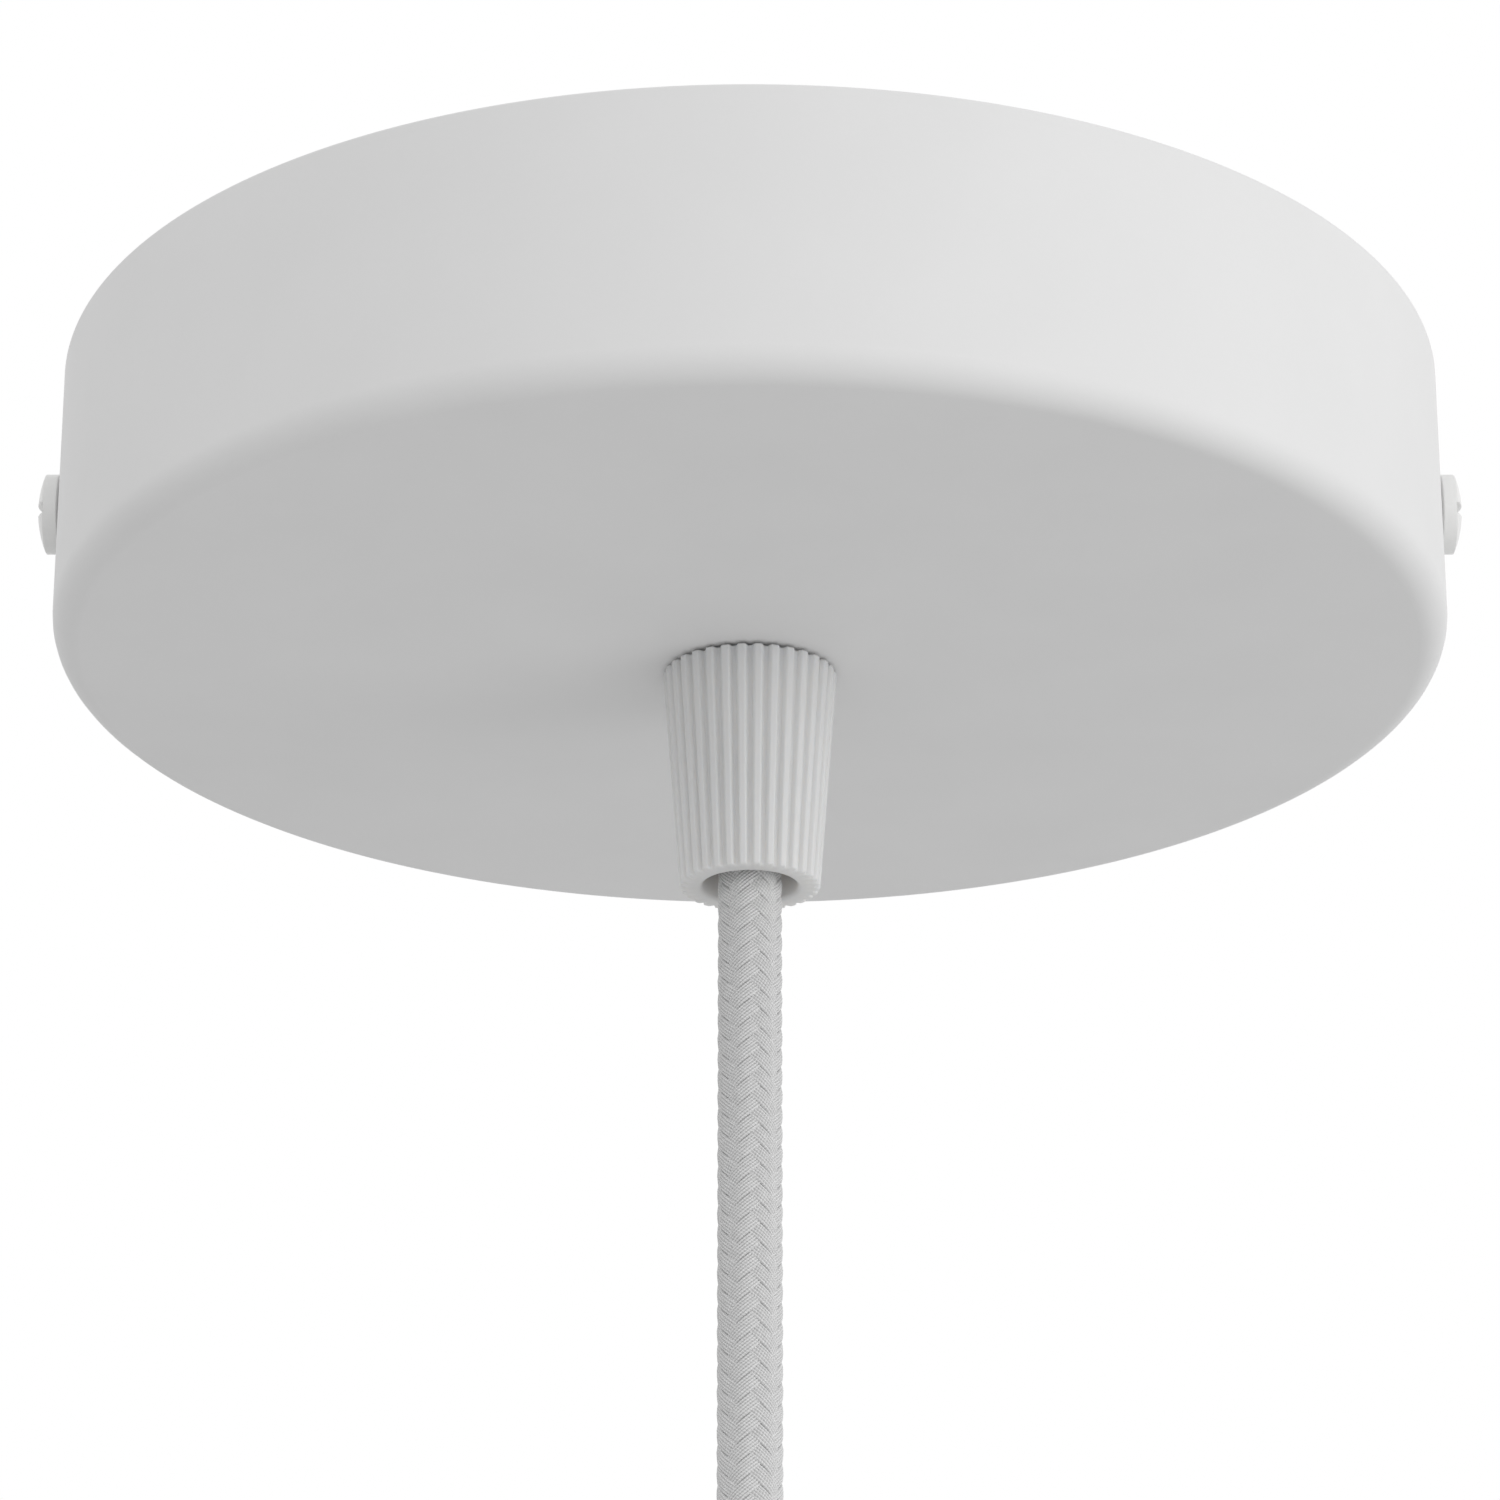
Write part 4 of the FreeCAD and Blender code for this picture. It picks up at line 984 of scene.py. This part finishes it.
@dataclass(frozen=True)
class InsulatedCore:
    """One core of the cable; a second colour gives it stripes.

    Its axis lies on a circle in the cable, at an angle in degrees. twist is in radians per
    millimetre.
    """

    pole: str
    finishes: tuple[Finish, ...]
    slot: str
    angle: float
    circle: float = 1.06
    radius: float = 0.9
    sides: int = 20
    twist: float = 0.09
    step: float = 0.6

    @property
    def turn(self) -> Matrix:
        """Turn about the cable's axis to the core's place."""
        return Matrix.Rotation(math.radians(self.angle), 4, "Z")

    def build(self, points: Sequence[Vector], name: str,
              replaces: Iterable[str]) -> bpy.types.Object:
        """Draw the core along its route.

        Args:
            points: the route's control points in millimetres.
            name: the piece's name.
            replaces: the nodes that it stands for.

        Returns:
            The piece.
        """
        line = evenly(route_line(points), self.step)
        bm = swept(round_section(self.radius, self.sides), frames_along(line, self.twist))
        column = bm.verts.layers.int["column"]
        for face in bm.faces:
            numbers = sorted(vert[column] for vert in face.verts)
            wraps = numbers[-1] - numbers[0] > 1
            stripe = numbers[-1] if wraps else numbers[0]
            if len(self.finishes) > 1 and stripe < self.sides // 2:
                face.material_index = 1
        return finished(bm, name, self.finishes, replaces, crease=60.0)


EARTH = InsulatedCore("earth", (YELLOW_PVC, GREEN_PVC), "green_yellow_core", 0.0)
NEUTRAL = InsulatedCore("neutral", (BLUE_PVC,), "blue_core", 120.0)
LIVE = InsulatedCore("live", (BROWN_PVC,), "brown_core", 240.0)
CORES = (EARTH, NEUTRAL, LIVE)


@dataclass(frozen=True)
class Ferrule:
    """A crimped ferrule that points down: a plastic collar over a tinned tube."""

    tube_radius: float = 0.65
    tube_length: float = 6.0
    tip: float = 0.1
    crimps: int = 5
    crimp_start: float = 1.4
    crimp_pitch: float = 0.75
    crimp_share: float = 0.8
    tube_steps: int = 24
    collar_radius: float = 1.3
    collar_top: float = 1.1
    collar_foot: float = 2.2
    collar_edge: float = 0.08
    collar_bend: float = 0.3
    collar_wall: float = 0.1
    collar_steps: int = 32
    core_hole: float = 0.9
    wire_hole: float = 0.6
    funnel: float = 0.05

    def build(self) -> bmesh.types.BMesh:
        """Turn the tube and its collar, and press in every second ring of the tube.

        Returns:
            The ferrule, with its tube in the second material.
        """
        tube = turned([(0.0, 0.0, 0.0), (self.tube_radius, 0.0, 0.0),
                       (self.tube_radius, -self.tube_length, self.tip),
                       (0.0, -self.tube_length - self.tip, 0.0)], self.tube_steps, closed=False)
        for face in tube.faces:
            face.material_index = 1
        for i in range(1, self.crimps + 1):
            level = -self.crimp_start - self.crimp_pitch * i
            bmesh.ops.bisect_plane(tube, geom=tube.verts[:] + tube.edges[:] + tube.faces[:],
                                   dist=CUT, plane_co=(0, 0, level), plane_no=(0, 0, 1))
            if i % 2:
                ring = [vert for vert in tube.verts if abs(vert.co.z - level) < MERGE]
                bmesh.ops.scale(tube, vec=(self.crimp_share, self.crimp_share, 1.0), verts=ring)
        collar = turned([
            (self.core_hole, self.collar_top, 0.0),
            (self.collar_radius, self.collar_top, self.collar_edge),
            (self.collar_radius, 0.0, self.collar_bend),
            (self.wire_hole + self.collar_wall, -self.collar_foot, self.collar_edge),
            (self.wire_hole, -self.collar_foot, 0.0),
            (self.wire_hole, 0.0, 0.0),
            (self.core_hole, self.funnel, 0.0),
        ], self.collar_steps)
        joined(collar, tube)
        return collar


@dataclass(frozen=True)
class PendantCable:
    """The braided cable with its prepared lower end."""

    exit: float = -44.75
    braid: Braid = Braid()
    ferrule: Ferrule = Ferrule()
    cable_radius: float = 2.75
    sheath_radius: float = 2.45
    sleeve: float = 0.35
    on_braid: float = 1.4
    on_sheath: float = 1.3
    sleeve_taper: float = 0.05
    sleeve_edge: float = 0.12
    shoulder: float = 0.25
    neck: float = 0.2
    sleeve_steps: int = 64
    sheath_shown: float = 2.0
    core_spread: float = 2.6
    core_length: float = 8.5
    straight: float = 0.3
    spread_by: float = 0.65

    def build(self) -> None:
        cable = self.braid.build()
        self.shrink_sleeve("upper", self.braid.top, 1)
        pieces = [self.shrink_sleeve("lower", self.braid.bottom, -1)]
        dressed("upper_sheath", SHEATH_PVC)
        dressed("lower_sheath", SHEATH_PVC)
        pieces.append(frame["nodes"]["lower_sheath"])
        pieces += self.lower_cores()
        pieces.append(self.ferrules())
        [point * MM for point in route_line(self.braid.route)]

    def shrink_sleeve(self, end: str, cut: float, up: int) -> bpy.types.Object:
        """Tight sleeve over a cut end of the braid.

        Args:
            end: upper or lower.
            cut: height of the cut.
            up: 1 where the sheath stands upwards out of the braid, else -1.

        Returns:
            The sleeve.
        """
        wide, narrow = self.cable_radius + self.sleeve, self.sheath_radius + self.sleeve
        bm = turned([
            (self.cable_radius, cut - up * self.on_braid, 0.0),
            (wide - self.sleeve_taper, cut - up * self.on_braid, self.sleeve_edge),
            (wide, cut + up * self.sleeve, self.shoulder),
            (narrow, cut + up * self.sleeve * 2, self.neck),
            (narrow, cut + up * self.on_sheath, self.sleeve_edge),
            (self.sheath_radius, cut + up * self.on_sheath, 0.0),
            (self.sheath_radius, cut, 0.0),
            (self.cable_radius, cut, 0.0),
        ], self.sleeve_steps)
        return finished(bm, f"{end}_sleeve_shrunk", [SHRINK_TUBE],
                        [f"{end}_sleeve"], crease=50.0)

    def lower_cores(self) -> list[bpy.types.Object]:
        """Lead three cores down from the lower sheath, a little apart.

        Returns:
            The pieces.
        """
        top = self.braid.bottom - self.sheath_shown
        pieces = []
        for core in CORES:
            points = [core.turn @ Vector(spot) for spot in (
                (core.circle, 0, top),
                (core.circle, 0, top - self.straight * self.core_length),
                (self.core_spread, 0, top - self.spread_by * self.core_length),
                (self.core_spread, 0, top - self.core_length))]
            pieces.append(core.build(points, f"{core.pole}_core_end_drawn",
                                     [f"{core.pole}_core_end"]))
        return pieces

    def ferrules(self) -> bpy.types.Object:
        """Put a ferrule on the end of each core.

        Returns:
            The piece with all three.
        """
        foot = self.braid.bottom - self.sheath_shown - self.core_length
        spot = Matrix.Translation((self.core_spread, 0.0, foot))
        bm = bmesh.new()
        for core in CORES:
            joined(bm, self.ferrule.build(), core.turn @ spot)
        return finished(bm, "ferrules_crimped", [COLLAR, TINNED],
                        ["end_ferrules"], crease=50.0)


# Inside the cup


@dataclass(frozen=True)
class Lead:
    """A core's way to its pole: straight up by rise, then round its bends.

    A bend is x, y and the lift above the height of the poles.
    """

    core: InsulatedCore
    pole_x: float
    rise: float
    bends: tuple[Spot, ...]


@dataclass(frozen=True)
class InnerWiring:
    """The cores from the sheath to the terminals, and the earth link to the bracket."""

    start: float = -14.5
    pole_z: float = -5.5
    tube_mouth: float = 7.0
    leads: tuple[Lead, ...] = (
        Lead(EARTH, 13.0, 3.5, ((6.5, -11.0, -3.0), (13.0, -18.5, 0.0))),
        Lead(NEUTRAL, 22.0, 7.5, ((3.0, -11.0, 1.2), (13.0, -21.0, 0.8), (22.0, -18.5, 0.0))),
        Lead(LIVE, 31.0, 3.8, ((-1.5, -13.0, -4.5), (13.0, -28.0, -2.2), (31.0, -23.0, 0.0))),
    )
    link_ahead: float = 17.0
    link_bends: tuple[Spot, ...] = (
        (3.0, 25.0, -7.0), (-13.0, 26.0, -5.0), (-20.0, 19.0, -3.5), (-20.0, 9.5, -3.5))

    def build(self) -> None:
        """Lead each core to its pole, and link the earth pole to the bracket."""
        for lead in self.leads:
            first = lead.core.turn @ Vector((lead.core.circle, 0.0, self.start))
            points = [first, first + Vector((0, 0, lead.rise))]
            points += [Vector((x, y, self.pole_z + lift)) for x, y, lift in lead.bends]
            points.append(Vector((lead.pole_x, -self.tube_mouth, self.pole_z)))
            lead.core.build(points, f"{lead.core.pole}_core_drawn", [f"{lead.core.pole}_core"])
        earth_x = self.leads[0].pole_x
        link = [(earth_x, self.tube_mouth, self.pole_z), (earth_x, self.link_ahead, self.pole_z),
                *self.link_bends]
        EARTH.build([Vector(spot) for spot in link], "earth_link_drawn", ["earth_link"])
        dressed("conductor_ends", COPPER)


@dataclass(frozen=True)
class BracketAndTerminals:
    """The bracket with its earth connection, and the terminal block under it."""

    bracket_edge: float = 0.2
    housing_edge: float = 0.15

    def build(self) -> None:
        """Break the edges of the stamped and moulded pieces, and dress the rest."""
        softened("mounting_bracket", self.bracket_edge, GALVANISED)
        softened("terminal_housing", self.housing_edge, POLYAMIDE)
        dressed("terminal_tubes", BRASS)
        dressed("terminal_screws", BRIGHT_ZINC)
        dressed("terminal_fixing_screw", BRIGHT_ZINC)
        dressed("earth_screw", BRASS)
        dressed("earth_ring_terminal", TINNED)


# Studio


@dataclass(frozen=True)
class Viewpoint:
    """The photograph's viewpoint: in front of the rose and below it, looking up.

    Its distance is in metres and its angles are in degrees. focal_px is the focal length in
    pixels of the photograph, and sensor the sensor's width in millimetres.
    """

    distance: float = 0.48
    below: float = 25.17
    pitch: float = 21.6
    focal_px: float = 5433.6
    photo_px: float = 1500.0
    sensor: float = 36.0
    nearest: float = 0.01
    farthest: float = 50.0

    def build(self) -> None:
        """Set the scene's camera."""
        data = bpy.data.cameras.new("viewpoint")
        data.sensor_width = self.sensor
        data.lens = self.focal_px / self.photo_px * self.sensor
        data.clip_start, data.clip_end = self.nearest, self.farthest
        camera = bpy.data.objects.new("viewpoint", data)
        turn = math.radians(self.below)
        camera.location = (0.0, -self.distance * math.cos(turn), -self.distance * math.sin(turn))
        camera.rotation_euler = (math.radians(90 + self.pitch), 0.0, 0.0)
        bpy.context.scene.collection.objects.link(camera)
        bpy.context.scene.camera = camera


@dataclass(frozen=True)
class SoftLamp:
    """A large soft lamp that looks at the rose.

    bearing is measured from the viewer's side towards +X, height is above the horizon, both in
    degrees. The other sizes are in metres.
    """

    name: str
    bearing: float
    height: float
    distance: float
    side: float
    watts: float
    target: Spot = (0.0, 0.0, -0.03)

    def build(self) -> None:
        """Hang the lamp."""
        data = bpy.data.lights.new(self.name, "AREA")
        data.shape = "SQUARE"
        data.size = self.side
        data.energy = self.watts
        lamp = bpy.data.objects.new(self.name, data)
        across, up = math.radians(self.bearing), math.radians(self.height)
        away = Vector((math.sin(across) * math.cos(up), -math.cos(across) * math.cos(up),
                       math.sin(up)))
        lamp.location = Vector(self.target) + away * self.distance
        lamp.rotation_euler = (-away).to_track_quat("-Z", "Y").to_euler()
        bpy.context.scene.collection.objects.link(lamp)


@dataclass(frozen=True)
class Studio:
    """Pale floor, soft even light and a background that is seen as white, in metres."""

    ambient: float = 0.78
    floor_height: float = -0.75
    floor_side: float = 60.0
    floor_colour: str = "D0D0D0"
    floor_glow: float = 0.46
    floor_roughness: float = 0.9
    lamps: tuple[SoftLamp, ...] = (
        SoftLamp("key_right", bearing=65.0, height=-6.0, distance=1.5, side=0.9, watts=5.3),
        SoftLamp("fill_front", bearing=12.0, height=4.0, distance=1.5, side=1.2, watts=2.2),
    )

    def build(self) -> None:
        """Set the world, the lamps and the floor."""
        scene = bpy.context.scene
        scene.view_settings.view_transform = "Standard"
        self.world()
        for lamp in self.lamps:
            lamp.build()
        self.floor()

    def world(self) -> None:
        """Light the rose evenly, and show white where the background is seen."""
        world = bpy.data.worlds.new("studio")
        world.use_nodes = True
        tree = world.node_tree
        tree.nodes.clear()
        seen = self.seen(tree)
        light = add_node(tree, "ShaderNodeBackground", {"Color": linear(WHITE),
                                                        "Strength": self.ambient})
        white = add_node(tree, "ShaderNodeBackground", {"Color": linear(WHITE),
                                                        "Strength": 1.0})
        mixed = add_node(tree, "ShaderNodeMixShader", {0: seen, 1: light.outputs[0],
                                                       2: white.outputs[0]})
        add_node(tree, "ShaderNodeOutputWorld", {"Surface": mixed.outputs[0]})
        bpy.context.scene.world = world

    def seen(self, tree: bpy.types.NodeTree) -> bpy.types.NodeSocket:
        """Tell the rays that see the background from those that only carry light.

        Args:
            tree: the tree that asks.

        Returns:
            The socket that is 1 for a ray that sees the background.
        """
        path = add_node(tree, "ShaderNodeLightPath").outputs
        seen = add_node(tree, "ShaderNodeMath", {0: path["Is Camera Ray"],
                                                 1: path["Is Glossy Ray"]}, operation="MAXIMUM")
        seen = add_node(tree, "ShaderNodeMath", {0: seen.outputs[0],
                                                 1: path["Is Transmission Ray"]},
                        operation="MAXIMUM")
        return seen.outputs[0]

    def floor(self) -> None:
        """Lay a plain pale floor below the rose; it looks white and still takes a shadow."""
        bm = bmesh.new()
        bmesh.ops.create_grid(bm, x_segments=1, y_segments=1, size=self.floor_side / 2,
                              matrix=Matrix.Translation((0, 0, self.floor_height)))
        mesh = bpy.data.meshes.new("floor")
        bm.to_mesh(mesh)
        bm.free()
        paint = bpy.data.materials.new("matt_floor_paint")
        paint.use_nodes = True
        tree = paint.node_tree
        tree.nodes.clear()
        glow = add_node(tree, "ShaderNodeMath", {0: self.seen(tree), 1: self.floor_glow},
                        operation="MULTIPLY")
        shader = add_node(tree, "ShaderNodeBsdfPrincipled", {
            "Base Color": linear(self.floor_colour), "Roughness": self.floor_roughness,
            "Emission Color": linear(WHITE), "Emission Strength": glow.outputs[0]})
        add_node(tree, "ShaderNodeOutputMaterial", {"Surface": shader.outputs[0]})
        mesh.materials.append(paint)
        floor = bpy.data.objects.new("floor", mesh)
        bpy.context.scene.collection.objects.link(floor)


def main() -> None:
    """Build the studio and every piece, with the cup sized from the canopy's box."""
    logging.basicConfig(level=logging.INFO, format="%(message)s")
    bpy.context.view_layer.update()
    low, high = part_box("canopy")
    Viewpoint().build()
    Studio().build()
    PendantCable().build()
    Canopy(radius=high.x / MM, height=-low.z / MM).build()
    CordGrip().build()
    InnerWiring().build()
    BracketAndTerminals().build()


if __name__ == "__main__":
    main()
